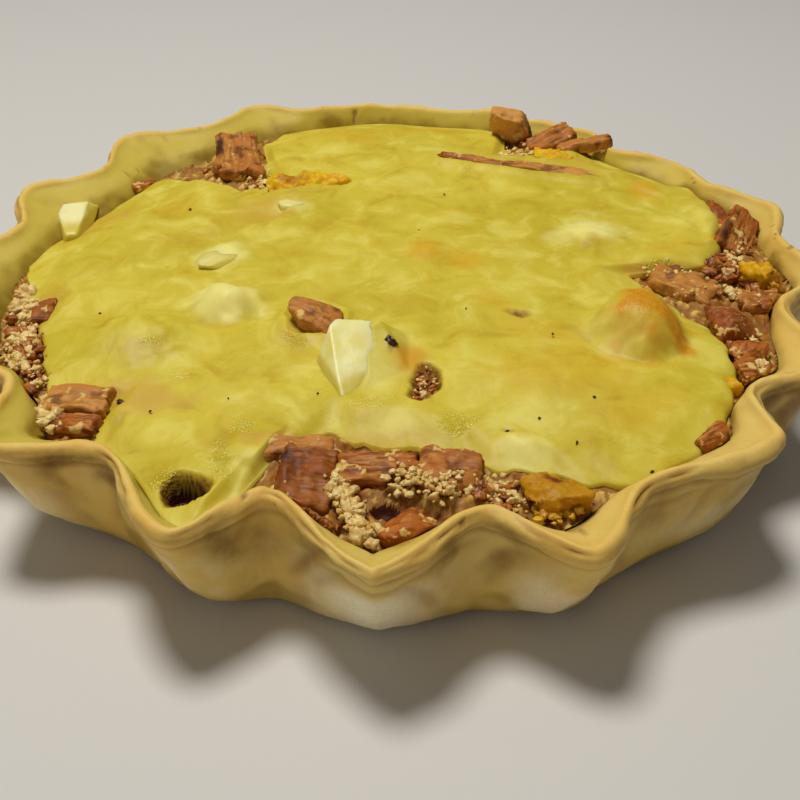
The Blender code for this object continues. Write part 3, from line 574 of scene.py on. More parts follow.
def cheese_form(x, y):
    """Height of the melted cheese over a place, and how deep the place lies in a hollow."""
    bearing = bearing_of(x, y)
    radius = cheese_radius(bearing)
    thick = column_at(THICK_LIPS, 1, bearing)
    reach = np.maximum(radius - np.hypot(x, y), 0.0)
    round_lip = np.sqrt(1.0 - (1.0 - np.clip(reach / CHEESE_LIP, 0.0, 1.0)) ** 2)
    inside = smoothstep(reach / THIN_LIP) * (1.0 - thick) + round_lip * thick
    top = fill_level(x, y) + SHEET_GAP + CHEESE_THICKNESS * (0.10 + 0.90 * inside)
    bent_x = x + layers(plan(x, y, 3.0), 8.0, 21) * 1.2
    bent_y = y + layers(plan(x, y, 9.0), 8.0, 22) * 1.2
    for swell_x, swell_y, reach, height, roundness in SWELLS:
        gap = np.hypot(bent_x - swell_x, bent_y - swell_y) / reach
        top += height * inside * smoothstep(1.0 - np.minimum(gap, 1.0) ** roundness)
    for ring_x, ring_y, size, height, width in RINGS:
        gap = np.hypot(bent_x - ring_x, bent_y - ring_y) - size
        top += inside * height * np.exp(-(gap / width) ** 2)
    top += CHEESE_RISE * inside * risen_round(bent_x, bent_y)
    for line, height in SLICE_STEPS:
        gap, side, share = beside_line(bent_x, bent_y, line)
        over = smoothstep(0.5 + side * gap * np.sign(height) / STEP_SLOPE)
        top += inside * abs(height) * faded(share, 0.2) * over * np.exp(-gap / STEP_REACH)
    for line, depth, width in CREASES:
        gap, _, share = beside_line(bent_x, bent_y, line)
        top -= inside * depth * faded(share, 0.25) * np.exp(-(gap / width) ** 2)
    pocket = np.zeros_like(x)
    for hole_x, hole_y, half_x, half_y, depth in HOLES:
        gap = np.hypot((bent_x - hole_x) / half_x, (bent_y - hole_y) / half_y)
        pocket = np.maximum(pocket, depth * smoothstep(1.5 - gap))
    top -= pocket
    over_egg = smoothstep((bent_x - FILM_LEFT) / 3.0) * smoothstep((FILM_RIGHT - x) / 4.0)
    rise = np.clip(egg_height(x, y) + FILM_THICKNESS - top, 0.0, 6.0) * over_egg
    near = smoothstep(1.6 - np.hypot(x - FILM_MIDDLE[0], y - FILM_MIDDLE[1]) / FILM_REACH)
    return top + rise * near, pocket, inside


# Meshes

def add_object(name, data):
    thing = bpy.data.objects.new(name, data)
    bpy.context.scene.collection.objects.link(thing)
    return thing


def add_mesh(name, points, faces, material, values=None):
    """An object from points in millimetres, with a number for each point under each name."""
    mesh = bpy.data.meshes.new(name)
    mesh.from_pydata((points * MM).tolist(), [], faces)
    for key, numbers in (values or {}).items():
        kind = "FLOAT_VECTOR" if np.ndim(numbers) == 2 else "FLOAT"
        layer = mesh.attributes.new(key, kind, "POINT")
        layer.data.foreach_set("vector" if kind == "FLOAT_VECTOR" else "value",
                               np.ascontiguousarray(numbers, dtype=np.float32).ravel())
    mesh.shade_smooth()
    mesh.materials.append(material)
    return add_object(name, mesh)


def belong(piece, slot, *nodes):
    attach(piece, BODY)
    if nodes:
        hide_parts(*nodes)
    return piece


def tube_faces(rows, columns):
    """Faces of a closed surface: rings of points, with a middle point before and after them."""
    pairs = [(column, (column + 1) % columns) for column in range(columns)]
    starts = [1 + row * columns for row in range(rows)]
    faces = [(low + here, low + after, high + after, high + here)
             for low, high in zip(starts, starts[1:]) for here, after in pairs]
    for here, after in pairs:
        faces.append((0, 1 + after, 1 + here))
        faces.append((rows * columns + 1, starts[-1] + here, starts[-1] + after))
    return faces


def ring_normals(rings):
    """Outward normals of rings of points, given as rows, columns and coordinates."""
    along = np.roll(rings, -1, axis=1) - np.roll(rings, 1, axis=1)
    up = np.gradient(rings, axis=0)
    return unit_length(np.cross(along, up))


def even_bearings(count):
    """Bearings at even steps along the folded rim."""
    fine = np.linspace(0.0, 360.0, 7201)
    radius = outer_radius(fine, RIM_HEIGHT)
    x, y = radius * np.cos(np.radians(fine)), radius * np.sin(np.radians(fine))
    length = length_run(np.hypot(np.diff(x), np.diff(y)))
    return np.interp(np.arange(count) * length[-1] / count, length, fine)


def ring_points(bearings, radius, z):
    turn = np.radians(bearings)
    return np.stack([radius * np.cos(turn), radius * np.sin(turn), np.broadcast_to(z, turn.shape)], axis=1)


def section_rows():
    """The case's section at even steps, with its corners eased."""
    rise, across, shift = np.diff(SECTION, axis=0).T
    length = length_run(np.hypot(rise, np.hypot(across * DOUGH, shift)))
    unseen = length[-3]
    steps = np.concatenate([np.arange(0.0, unseen, CASE_STEP), length[-3:]])
    rows = np.stack([np.interp(steps, length, SECTION[:, part]) for part in range(3)], axis=1)
    eased = rows.copy()
    eased[1:-3] = rows[:-4] * 0.22 + rows[1:-3] * 0.56 + rows[2:-2] * 0.22
    return eased


def outer_face(across):
    """1 on the outer face of the case, and 0 from a third of the way through the dough."""
    return 1.0 - smoothstep(across / 0.3)


def fold_share(bearing):
    """1 at the tip of an outward fold, and -1 where the rim comes furthest in."""
    return np.clip((rim_radius(bearing) - RIM_MEAN_RADIUS) / 9.0, -1.0, 1.0)


def case_relief(points, bearing, height, across):
    """How far the dough stands out at each place, and the painted shade in its creases, pleats and split
    and in the dimples of its inner face.
    """
    outside = outer_face(across)
    standing = smoothstep((height - 0.6) / 3.0)
    swell = layers(points, 19.0, 301, 2) * 0.95 + layers(points, 7.0, 302, 2) * 0.30
    skin = layers(points, 1.9, 303, 2) * 0.05
    dimple = smoothstep((-0.62 - layers(points, 4.2, 304, 2)) * 5.0)
    dimple = dimple * smoothstep(0.2 + layers(points, 30.0, 306, 2) * 2.0)
    belly = outside * (0.9 + 0.5 * fold_share(bearing)) * np.sin(pi * np.clip(height / 30.0, 0.0, 1.0))
    ground = points * np.array([1.0, 1.0, 0.0])
    wander = layers(ground, 26.0, 305, 2)
    line_at = CREASE_HEIGHT + wander * 1.8
    crease = np.exp(-((height - line_at) / 0.55) ** 2) * (0.35 + 0.65 * smoothstep(0.6 + wander))
    lower_at = LOWER_CREASE_HEIGHT + wander * 1.6
    lower = np.exp(-((height - lower_at) / 0.8) ** 2) * smoothstep(wander * 2.2)
    lift = standing * (swell * (0.55 + 0.65 * outside) + skin - dimple * 0.4 + belly * 0.8)
    pleat = np.zeros_like(height)
    for at, lean, low, high, depth, width in PLEATS:
        off = bearing - at - lean * (height - PLEAT_MIDDLE) - wander * 0.8
        ends = smoothstep((height - low) / 5.0) * smoothstep((high - height) / 5.0)
        pleat = np.maximum(pleat, depth * ends * np.exp(-(off / width) ** 2))
        lift += outside * 0.45 * depth * ends * np.exp(-((off - 2.0 * width) / (1.4 * width)) ** 2)
    lift -= outside * (crease * 0.6 + lower * 0.35 + pleat)
    rim = smoothstep((height - 31.0) / 1.6) * (1.0 - smoothstep((across - 0.75) / 0.25))
    lift += rim * (0.15 + 0.70 * layers(points * np.array([1.0, 1.0, 0.3]), 11.0, 307, 3))
    split_at = 0.42 + 0.22 * layers(ground, 17.0, 308, 2)
    parted = smoothstep(layers(ground, 24.0, 309, 2) * 2.4 + 0.15)
    parted = np.maximum(parted, np.exp(-((bearing - SPLIT_BEARING) / 6.0) ** 2))
    split = rim * parted * np.exp(-((across - split_at) / 0.09) ** 2)
    lift -= split * 0.9
    # Painted shade: the creases, the pleats and the split in the rim are darkened.
    crease_shade = np.maximum(outside * np.maximum(crease * 0.9, np.maximum(lower * 0.5, pleat * 0.7)), split)
    return lift, crease_shade, dimple * (1.0 - outside)


def case_tints(points, bearing, height, across):
    """How toasted, floury, oily and shaded the dough is at each place, the toast being partly painted shade
    and the flour partly painted light.
    """
    outside, fold = outer_face(across), fold_share(bearing)
    hollow = smoothstep(0.25 - fold)
    upper = smoothstep((height - 15.0) / 12.0)
    patch = layers(points, 15.0, 311, 3)
    # Toast is real browning, and in the hollow folds under the rim also painted shade.
    toast_and_shade = outside * upper * (0.15 + 0.85 * hollow) * smoothstep(0.55 + patch * 0.9)
    edge = smoothstep((across - 0.02) / 0.2) * smoothstep((0.5 - across) / 0.3)
    toast_and_shade = np.maximum(toast_and_shade, 0.55 * edge * smoothstep(0.45 + layers(points, 11.0, 312, 2)))
    flour_and_light = outside * smoothstep(0.45 + fold * 0.8) * smoothstep((FLOUR_TOP - height) / 12.0)
    flour_and_light = 0.65 * flour_and_light * smoothstep(0.6 + layers(points, 12.0, 313, 3) * 1.1)
    lobe = np.exp(-((bearing - LOBE_BEARING) / 6.5) ** 2)
    # Painted light: the pointed lobe in front is whitened as flour, to lighten its shaded face.
    flour_and_light = np.maximum(flour_and_light, outside * lobe * smoothstep((FLOUR_TOP - height) / 7.0))
    # Painted shade: the outside on the right side is darkened with toast colour and loses most of its
    # flour.
    right = smoothstep(1.0 - np.abs(bearing - SHADED_SIDE_BEARING) / 34.0)
    flour_and_light = flour_and_light * (1.0 - 0.8 * right)
    toast_and_shade = np.maximum(toast_and_shade, 0.9 * outside * right * smoothstep(0.9 + patch * 0.8)) * (1.0 - 0.7 * lobe)
    oil = outside * smoothstep((9.0 - height + layers(points, 13.0, 314, 2) * 9.0) / 7.0) * (1.0 - flour_and_light)
    inner = smoothstep((across - 0.75) / 0.25)
    shade = inner * smoothstep((33.2 - height + layers(points, 9.0, 315, 2) * 2.6) / 4.5)
    creamy = smoothstep(np.cos(np.radians(bearing - CREAMY_BEARING)) * 1.2 - 0.1)
    return {"toast_and_shade": toast_and_shade, "flour_and_light": flour_and_light, "oil": oil, "inner": inner * (1.0 - 0.85 * creamy),
            "shade": shade}


def make_case(material):
    bearings = even_bearings(CASE_COLUMNS)
    rows = section_rows()
    rings = []
    for z, across, shift in rows:
        outer = outer_radius(bearings, z)
        radius = outer + (inner_radius(bearings, z) - outer) * across + shift
        drop = rim_drop(bearings) * smoothstep((z - RIM_DROP_FROM) / RIM_DROP_SPAN)
        rings.append(ring_points(bearings, radius, z - drop))
    rings = np.array(rings)
    shape = rings.shape[:2]
    height = np.repeat(rows[:, 0], shape[1])
    across = np.repeat(rows[:, 1], shape[1])
    bearing = np.tile(bearings, shape[0])
    points = rings.reshape(-1, 3)
    lift, crease_shade, dimple_shade = case_relief(points, bearing, height, across)
    points = points + ring_normals(rings).reshape(-1, 3) * lift[:, None]
    points[:, 2] = np.maximum(points[:, 2], 0.0)
    marks = {**case_tints(points, bearing, height, across), "crease_shade": crease_shade, "dimple_shade": dimple_shade}
    values = {name: np.concatenate([[0.0], numbers, [0.0]]) for name, numbers in marks.items()}
    every = np.concatenate([[[0.0, 0.0, 0.0]], points, [[0.0, 0.0, DOUGH]]])
    piece = add_mesh("crust_dough", every, tube_faces(*shape), material, values)
    return belong(piece, "dough", "crust")


def curd_relief(x, y):
    """Lumpy relief of the filling where it is bare, and how deep each place lies in it, which the material
    paints as shade.
    """
    flat = plan(x, y, 2.0)
    bent = flat + 0.8 * np.stack([layers(flat, 3.0, 405), layers(flat, 3.0, 406), 0.0 * x], axis=1)
    near, second = cells(bent, 3.4, 401, flat=True)
    lump = smoothstep((second - near) / 0.5) * (1.0 - 0.8 * near)
    fine, other = cells(bent, 1.3, 402, flat=True)
    grain = smoothstep((other - fine) / 0.45) * (1.0 - 0.8 * fine)
    roll = layers(flat, 8.0, 403, 3)
    return roll * 1.3 + lump * 1.7 + grain * 0.6 - 1.1, np.clip(1.1 - lump - grain * 0.5, 0.0, 1.0)


def fill_top(x, y):
    """Height of the filling's crumbly top, and how sunken each place is, which the material paints as
    shade, darkest in the pits.
    """
    bearing = bearing_of(x, y)
    bare = smoothstep((np.hypot(x, y) - cheese_edge(bearing) + 2.0) / 3.0)
    rise, sunken = curd_relief(x, y)
    top = fill_level(x, y) + bare * (rise * 0.9 + CURD_RISE * risen_round(x, y))
    for pit_x, pit_y, pit_z, half_x, half_y, half_z in PITS:
        gap = ((x - pit_x) / half_x) ** 2 + ((y - pit_y) / half_y) ** 2
        floor = pit_z - half_z * np.sqrt(np.maximum(1.0 - gap, 0.0))
        inside = gap < 1.0
        top = np.where(inside, np.minimum(top, floor), top)
        sunken = np.where(inside, 1.6 - gap * 0.3, sunken)
    return top, sunken


def make_filling(material):
    bearings = even_bearings(FILL_COLUMNS)
    border = fill_edge(bearings)
    low = inner_radius(bearings, DOUGH) - FLOOR_FILLET - GAP
    rings = [ring_points(bearings, low, DOUGH + GAP)]
    for z in (10.0, INNER_LOW):
        rings.append(ring_points(bearings, inner_radius(bearings, z) - GAP * slant(bearings, z), z))
    count = int(112.0 * (1.0 - FILL_SEEN_FROM) / FILL_STEP)
    shares = list(np.linspace(1.0, FILL_SEEN_FROM, count)) + [0.45, 0.3, 0.15]
    hidden = len(rings)
    for share in shares:
        rings.append(ring_points(bearings, border * share, 0.0))
    rings = np.array(rings)
    top = rings[hidden:].reshape(-1, 3)
    height, sunken = fill_top(top[:, 0], top[:, 1])
    at_wall = np.repeat(np.array(shares) > 0.9999, len(bearings))
    top[:, 2] = np.where(at_wall, fill_level(top[:, 0], top[:, 1]), height)
    rings[hidden:] = top.reshape(len(shares), len(bearings), 3)
    points = rings.reshape(-1, 3)
    blank = np.zeros(hidden * len(bearings))
    sunken = np.concatenate([[0.0], blank, sunken, [0.0]])
    middle = fill_level(0.0, 0.0)
    every = np.concatenate([[[0.0, 0.0, DOUGH + GAP]], points, [[0.0, 0.0, middle]]])
    meat = smoothstep(0.3 + layers(every, 7.0, 411, 3) * 1.6)
    piece = add_mesh("filling_curd", every, tube_faces(*rings.shape[:2]), material,
                     {"sunken": sunken, "meat": meat})
    return belong(piece, "filling", "filling")


def disc_grid(side):
    """A square grid of points laid out evenly over a disc of radius 1."""
    step = np.linspace(-1.0, 1.0, side + 1)
    v, u = np.meshgrid(step, step, indexing="ij")
    far = np.maximum(np.abs(u), np.abs(v))
    near = np.minimum(np.abs(u), np.abs(v))
    turn = np.where(far > 0.0, near / np.maximum(far, 1e-9), 0.0) * pi / 4.0
    wide = np.abs(u) >= np.abs(v)
    x = far * np.where(wide, np.cos(turn), np.sin(turn)) * np.sign(u)
    y = far * np.where(wide, np.sin(turn), np.cos(turn)) * np.sign(v)
    return x.ravel(), y.ravel()


def grid_border(side):
    """Indices of a square grid's outer points in turn."""
    row = side + 1
    lower = list(range(0, side))
    right = [side + row * k for k in range(0, side)]
    upper = [row * side + side - k for k in range(0, side)]
    left = [row * (side - k) for k in range(0, side)]
    return lower + right + upper + left


def closed_below(points, side):
    """Points and faces of a grid that rings drawn in under it, inside the filling, close."""
    row = side + 1
    faces = [(a, a + 1, a + row + 1, a + row) for v in range(side) for a in range(v * row, v * row + side)]
    upper = grid_border(side)
    border = points[upper]
    rims = [points]
    start = len(points)
    for shrink in (0.99, 0.93, 0.7, 0.35):
        ring = border.copy()
        ring[:, :2] *= shrink
        ring[:, 2] = fill_level(ring[:, 0], ring[:, 1]) - SHEET_DEPTH
        rims.append(ring)
        lower = list(range(start, start + len(border)))
        start += len(border)
        faces += zip(upper[1:] + upper[:1], upper, lower, lower[1:] + lower[:1])
        upper = lower
    rims.append(np.array([[0.0, 0.0, FILL_EDGE_HEIGHT + FILL_CROWN - SHEET_DEPTH]]))
    faces += [(after, here, start) for after, here in zip(upper[1:] + upper[:1], upper)]
    return np.concatenate(rims), faces


def make_cheese(material):
    side = CHEESE_SIDE
    unit_x, unit_y = disc_grid(side)
    share = np.hypot(unit_x, unit_y)
    bearing = bearing_of(unit_x, unit_y)
    radius = cheese_radius(bearing)
    x, y = unit_x * radius, unit_y * radius
    top, pocket, inside = cheese_form(x, y)
    stretch = ragged_border(bearing) * share ** 20 / np.maximum(share, 0.01)
    x, y = x + unit_x * stretch, y + unit_y * stretch
    flat = plan(x, y)
    calm = inside * (1.0 - 0.5 * smoothstep(pocket))
    top += calm * (layers(flat, 26.0, 501, 2) * 0.85 + layers(flat, 9.5, 502, 2) * 0.20)
    top += calm * layers(flat, 2.6, 503, 2) * 0.04
    grain = spots(x, y, GRAIN_SPOTS)
    pebble = cells(flat, 1.0, 504, flat=True)[0]
    top += grain * calm * 0.14 * (0.6 - pebble)
    crumbly = smoothstep(pocket / 1.2) * (pocket > 0.05) * (pocket < 3.2)
    from_brown = np.hypot(x - HOLES[0][0], y - HOLES[0][1])
    # Painted shade inside the deep hollow.
    deep = smoothstep((pocket - 2.2) / 1.6) * (from_brown < SHADED_HOLE_REACH)
    lump = cells(flat, 1.9, 505, flat=True)[0]
    top += crumbly * 1.5 * (0.55 - lump)
    tints = {
        "gold": spots(x, y, GOLD_SPOTS), "blister": spots(x, y, BLISTER_SPOTS, 0.5, 6),
        "pale": spots(x, y, PALE_AND_LIT_SPOTS, 0.3, 7), "pink": spots(x, y, PINK_SPOTS, 0.35, 8),
        "grain": grain, "hollow": crumbly, "deep": deep,
    }
    points = np.stack([x, y, top], axis=1)
    every, faces = closed_below(points, side)
    extra = len(every) - len(points)
    values = {name: np.concatenate([numbers, np.zeros(extra)]) for name, numbers in tints.items()}
    piece = add_mesh("cheese_melt", every, faces, material, values)
    return belong(piece, "cheese", "cheese")


# Pieces

def box_grid(size, step):
    """Points and faces of a box whose faces are divided at about the step."""
    counts = [max(3, int(round(length / step))) for length in size]
    points, faces = [], []
    for axis in range(3):
        one, two = (axis + 1) % 3, (axis + 2) % 3
        for sign in (-1.0, 1.0):
            start = len(points)
            for j in range(counts[two] + 1):
                for i in range(counts[one] + 1):
                    spot = [0.0, 0.0, 0.0]
                    spot[axis] = sign
                    spot[one] = 2.0 * i / counts[one] - 1.0
                    spot[two] = 2.0 * j / counts[two] - 1.0
                    points.append(spot)
            row = counts[one] + 1
            for j in range(counts[two]):
                for i in range(counts[one]):
                    a = start + j * row + i
                    face = (a, a + 1, a + row + 1, a + row)
                    faces.append(face if sign > 0 else face[::-1])
    points = np.array(points)
    keys, back = np.unique(np.round(points, 6), axis=0, return_inverse=True)
    back = back.reshape(-1)
    return keys, [tuple(int(back[corner]) for corner in face) for face in faces]


def rounded_box(size, rounding, step):
    unit, faces = box_grid(size, step)
    half = np.array(size) / 2.0
    core = np.maximum(half - rounding, 0.02)
    spot = unit * half
    held = np.clip(spot, -core, core)
    return held + unit_length(spot - held) * np.minimum(half, rounding), faces


def faceted(directions, planes, rounding):
    """Points on a body with flat faces and rounded edges, along the given directions."""
    pull = np.zeros(len(directions))
    for normal, reach in planes:
        normal = np.array(normal) / np.linalg.norm(normal)
        pull += (np.maximum(directions @ normal, 0.0) / reach) ** rounding
    return directions * pull[:, None] ** (-1.0 / rounding)


def chance_planes(seed, count=11):
    draw = np.random.default_rng(seed)
    normals = unit_length(draw.normal(0.0, 1.0, (count, 3)))
    sides = [(n, float(d)) for n, d in zip(normals, draw.uniform(0.78, 1.0, count))]
    axes = [(tuple(sign * (axis == k) for k in range(3)), 1.0) for axis in range(3) for sign in (-1.0, 1.0)]
    return sides + axes


def even_directions(size, step):
    """Directions of a closed grid over a ball, dense enough for a body of the given size."""
    points, faces = box_grid([max(size)] * 3, step)
    return unit_length(np.tan(points * pi / 4.0)), faces


def mesh_normals(points, faces):
    quads = np.array(faces)
    normal = np.cross(points[quads[:, 2]] - points[quads[:, 0]], points[quads[:, 3]] - points[quads[:, 1]])
    total = np.zeros_like(points)
    for corner in range(4):
        np.add.at(total, quads[:, corner], normal)
    return unit_length(total)


def turned(points, turn, centre):
    matrix = np.array(Euler([radians(angle) for angle in turn]).to_matrix())
    return points @ matrix.T + np.array(centre)


def held_inside(points):
    """Presses what lies against the dough flat against it."""
    bearing = bearing_of(points[:, 0], points[:, 1])
    radius = np.hypot(points[:, 0], points[:, 1])
    limit = wall_face(bearing, np.clip(points[:, 2], INNER_LOW, INNER_HIGH)) - 0.6
    limit = limit + 40.0 * smoothstep((points[:, 2] - RIM_HEIGHT + 1.0) / 2.0)
    scale = np.minimum(radius, limit) / np.maximum(radius, 1e-6)
    return points * np.stack([scale, scale, np.ones_like(scale)], axis=1)


def dress_ham(name, points, faces, centre, turn, seed, material):
    """Adds the fibres, torn borders and clinging curd of cooked ham, and sets the piece down."""
    normal = mesh_normals(points, faces)
    shifted = points + seed * HAM_SHIFT
    fibre = layers(shifted * np.array([0.2, 1.0, 1.0]), 1.3, 601 + seed, 3)
    tear = layers(shifted, 4.6, 602 + seed, 3)
    world = turned(points, turn, centre)
    patch = layers(world, 3.4, 640, 3) + 0.5 * layers(world, 1.2, 641, 2)
    curd = smoothstep((patch - 0.42) / 0.35) * CURD_ON_HAM
    near = cells(shifted, 1.0, 650)[0]
    clinging = curd * (0.15 + 0.9 * (0.6 - near))
    lift = fibre * 0.26 + tear * 0.26 + layers(shifted, 0.9, 604, 1) * 0.12 + clinging
    points = points + normal * lift[:, None]
    world = held_inside(turned(points, turn, centre))
    # Pale and dark are partly the ham's own tone and partly painted light and painted shade.
    tint = np.full(len(world), HAM_TONES_AND_SHADE.get(name, 0.0))
    if name == TAPERED:
        along = points[:, 0] / np.ptp(points[:, 0])
        tint = 1.2 * smoothstep(along + 0.6) - 0.4
    # The tear noise sinks the surface, and the material paints those hollows as shade.
    values = {"local": points + seed * HAM_SHIFT, "curd": curd * (1.0 - 0.5 * near), "tear": tear,
              "pale": np.maximum(tint, 0.0), "dark": np.maximum(-tint, 0.0),
              # Painted shade: the lower part of each piece is darkened.
              "low": smoothstep((centre[2] - 0.5 - world[:, 2]) / 5.0),
              "char": spots(world[:, 0], world[:, 1], CHARRED, 0.4, 9)}
    piece = add_mesh(name + "_meat", world, faces, material, values)
    return belong(piece, "ham", name)


def make_ham(material):
    for name, (centre, size, turn, seed) in HAM_LUMPS.items():
        way, faces = even_directions(size, PIECE_STEP)
        points = faceted(way, chance_planes(seed), HAM_ROUNDING) * np.array(size) * HAM_LUMP_SHARE
        dress_ham(name, points, faces, centre, turn, seed, material)
    for name, (centre, length, width, thickness, turn, curl, seed) in HAM_SLICES.items():
        points, faces = rounded_box((length, width, thickness), thickness * 0.28, PIECE_STEP)
        u, v = points[:, 0] / length, points[:, 1] / width
        rag = np.array([noise.noise(Vector((a * 5.0, b * 5.0, seed))) for a, b in zip(u, v)])
        swell = np.array([noise.noise(Vector((a * 4.0, b * 3.0, seed + 40.0))) for a, b in zip(u, v)])
        if name == TAPERED:
            points[:, 1] = points[:, 1] * (0.75 + 0.5 * u) + 0.9 * np.sin(7.0 * u)
            points[:, 2] *= 0.85 - 0.3 * u
        points[:, 0] *= 1.0 + 0.12 * rag
        points[:, 1] *= 1.0 + 0.24 * rag
        points[:, 2] += -(u * u) * radians(curl) * length / 2.0 + 0.9 * swell
        dress_ham(name, points, faces, centre, turn, seed, material)


def make_egg(material):
    for name, (centre, size, turn, seed) in EGG_WEDGES.items():
        way, faces = even_directions(size, PIECE_STEP)
        if name in EGG_FACES:
            points = faceted(way, EGG_FACES[name], EGG_ROUNDING)
        else:
            points = faceted(way, chance_planes(seed, 7), EGG_ROUNDING) * np.array(size) * LUMP_SHARE
        shifted = points + seed * 7.3
        normal = mesh_normals(points, faces)
        lift = layers(shifted, 7.0, 701 + seed, 2) * 0.22 + layers(shifted, 1.4, 702 + seed, 2) * 0.03
        world = held_inside(turned(points + normal * lift[:, None], turn, centre))
        above = world[:, 2] - fill_level(world[:, 0], world[:, 1]) - SHEET_GAP - CHEESE_THICKNESS
        piece = add_mesh(name + "_white", world, faces, material, {"above": above})
        belong(piece, "egg", name)


def make_yolk(material):
    for name, (centre, size, turn, seed) in YOLK_LUMPS.items():
        way, faces = even_directions(size, PIECE_STEP)
        points = faceted(way, chance_planes(seed, 9), HAM_ROUNDING) * np.array(size) * LUMP_SHARE
        shifted = points + seed * 7.3
        normal = mesh_normals(points, faces)
        near = cells(shifted, 1.7, 801 + seed)[0]
        lift = layers(shifted, 5.0, 802 + seed, 3) * 1.1 + (0.5 - near) * 0.8
        world = held_inside(turned(points + normal * lift[:, None], turn, centre))
        # The crumb value is the same cell distance that sinks the surface, and the material paints those
        # crevices as shade.
        values = {"crumb": near, "roast": spots(world[:, 0], world[:, 1], ROASTED_YOLK, 0.5, 10),
                  "milky": np.full(len(world), 1.0 if name in MILKY_YOLKS else 0.0)}
        piece = add_mesh(name + "_crumb", world, faces, material, values)
        belong(piece, "yolk", name)


# Crumbs

def scatter(name, places, sizes, seed, material, slot, length=1.0):
    """One mesh of rough lumps with flat faces, one for each place."""
    draw = np.random.default_rng(seed)
    all_points, all_faces = [], []
    for place, size in zip(places, sizes):
        way, faces = even_directions((size,) * 3, max(0.38, size * 0.2))
        planes = chance_planes(int(draw.integers(1 << 30)), 8)
        shape = draw.uniform(0.7, 1.25, 3) * np.array([length, 1.0, 0.8]) / length ** 0.3
        turn = [float(a) for a in draw.uniform(-35, 35, 2)] + [float(draw.uniform(0, 360))]
        lump = faceted(way, planes, CRUMB_ROUNDING)
        rough = layers(lump + draw.uniform(0, 500, 3), 0.8, seed, 2)
        lump = lump * (1.0 + 0.4 * rough)[:, None] * shape * size / 2.0
        all_faces.append(np.array(faces) + sum(len(points) for points in all_points))
        all_points.append(turned(lump, turn, place))
    piece = add_mesh(name, np.concatenate(all_points), np.concatenate(all_faces).tolist(), material)
    return belong(piece, slot)


def chance_along(lines, seed):
    """Places strewn along lines, each with its spacing, spread, height and sizes."""
    draw = np.random.default_rng(seed)
    places, sizes = [], []
    for line, count, reach, height, small, large in lines:
        line = np.array(line, dtype=float)
        run = length_run(np.hypot(*np.diff(line, axis=0).T))
        at = draw.uniform(0.0, run[-1], count)
        x = np.interp(at, run, line[:, 0]) + draw.normal(0.0, reach, count)
        y = np.interp(at, run, line[:, 1]) + draw.normal(0.0, reach, count)
        top = fill_top(x, y)[0]
        z = np.maximum(top, fill_level(x, y)) + height + draw.uniform(-0.5, 0.5, count)
        kept = np.hypot(x, y) < fill_edge(bearing_of(x, y)) - 0.4
        places.append(np.column_stack([x, y, z])[kept])
        sizes.append((small + (large - small) * draw.uniform(0.0, 1.0, count) ** 1.8)[kept])
    return np.concatenate(places), np.concatenate(sizes)


# Streaks of loose stuff: line, count, spread, height over the filling, smallest and largest size
CURD_STREAKS = [
    ([(-8, -83), (-7, -90), (-5, -97), (-2, -104), (0, -108)], 170, 1.5, 2.3, 0.8, 3.2),
    ([(7, -90), (17, -91.5)], 120, 2.4, 3.4, 0.6, 1.9),
    ([(22, -88), (28, -91), (32, -95)], 90, 2.3, 0.8, 0.8, 2.4),
    ([(-78, -57), (-77, -63), (-75, -67)], 60, 1.3, 1.6, 1.2, 3.6),
    ([(-97, -28), (-90, -39), (-83, -50)], 120, 2.2, 1, 0.8, 2.8),
    ([(-98, 0), (-96, -8), (-92, -20), (-90, -30)], 70, 2, 1, 1, 3.6),
    ([(95, -8.5), (103, -15)], 60, 1.2, 1.4, 0.7, 2.2),
    ([(96, -27), (96.5, -40), (95, -46)], 60, 1.2, 1.2, 0.8, 2.6),
    ([(100, 17), (102, 9), (98, 4)], 60, 2, 1.2, 0.8, 2.2),
    ([(77, -1), (86, -4), (84, -12)], 40, 2.4, 2.4, 0.7, 1.8),
    ([(-77, 64), (-73, 66)], 24, 1.6, 0.6, 0.9, 2.4),
    ([(-38, 70), (-36, 62), (-40, 60)], 40, 2, 0.8, 0.8, 2.4),
    ([(40, 84), (50, 86), (60, 84)], 50, 1.8, 1.2, 0.8, 2.2),
    ([(76, -78), (82, -72)], 40, 1.6, 0.6, 0.8, 2.6),
    ([(11, -60), (12.5, -55), (14, -50)], 30, 1.6, 2, 0.6, 1.4),
]
HAM_STREAKS = [
    ([(20, -90), (30, -93)], 26, 2, 0.6, 1.2, 2.8),
    ([(-14, -97), (-6, -102)], 16, 2, 0.4, 1.4, 3.2),
    ([(96, 14), (102, 2), (104, -8), (98, -16)], 70, 3.2, 1, 1.4, 4),
    ([(94, -32), (95, -44)], 24, 2.2, 0.6, 1.4, 3.6),
    ([(-96, -6), (-90, -26), (-84, -46)], 50, 2.6, 0.6, 1.2, 3.6),
    ([(-86, -60), (-80, -66)], 16, 2, 0.6, 1.2, 3),
    ([(-56, 74), (-40, 84)], 24, 3, 0.4, 1.2, 3.2),
    ([(50, 90), (70, 82)], 30, 2.2, 1.4, 1.4, 3.6),
    ([(76, -76), (82, -73)], 12, 1.6, 0.8, 1.2, 2.6),
    ([(11, -60), (12.5, -55), (13.5, -50)], 60, 1.2, 1.7, 0.6, 1.7),
]
YOLK_STREAKS = [
    ([(35, -93), (40, -97), (45, -94)], 46, 1.8, 0.8, 0.8, 2.6),
    ([(106, 7), (110, -3)], 18, 1.6, 1, 0.8, 2.2),
    ([(60, 79), (68, 74)], 16, 1.6, 1, 0.8, 2.4),
    ([(86, -50), (88, -54)], 8, 1, 0.6, 0.8, 1.8),
]
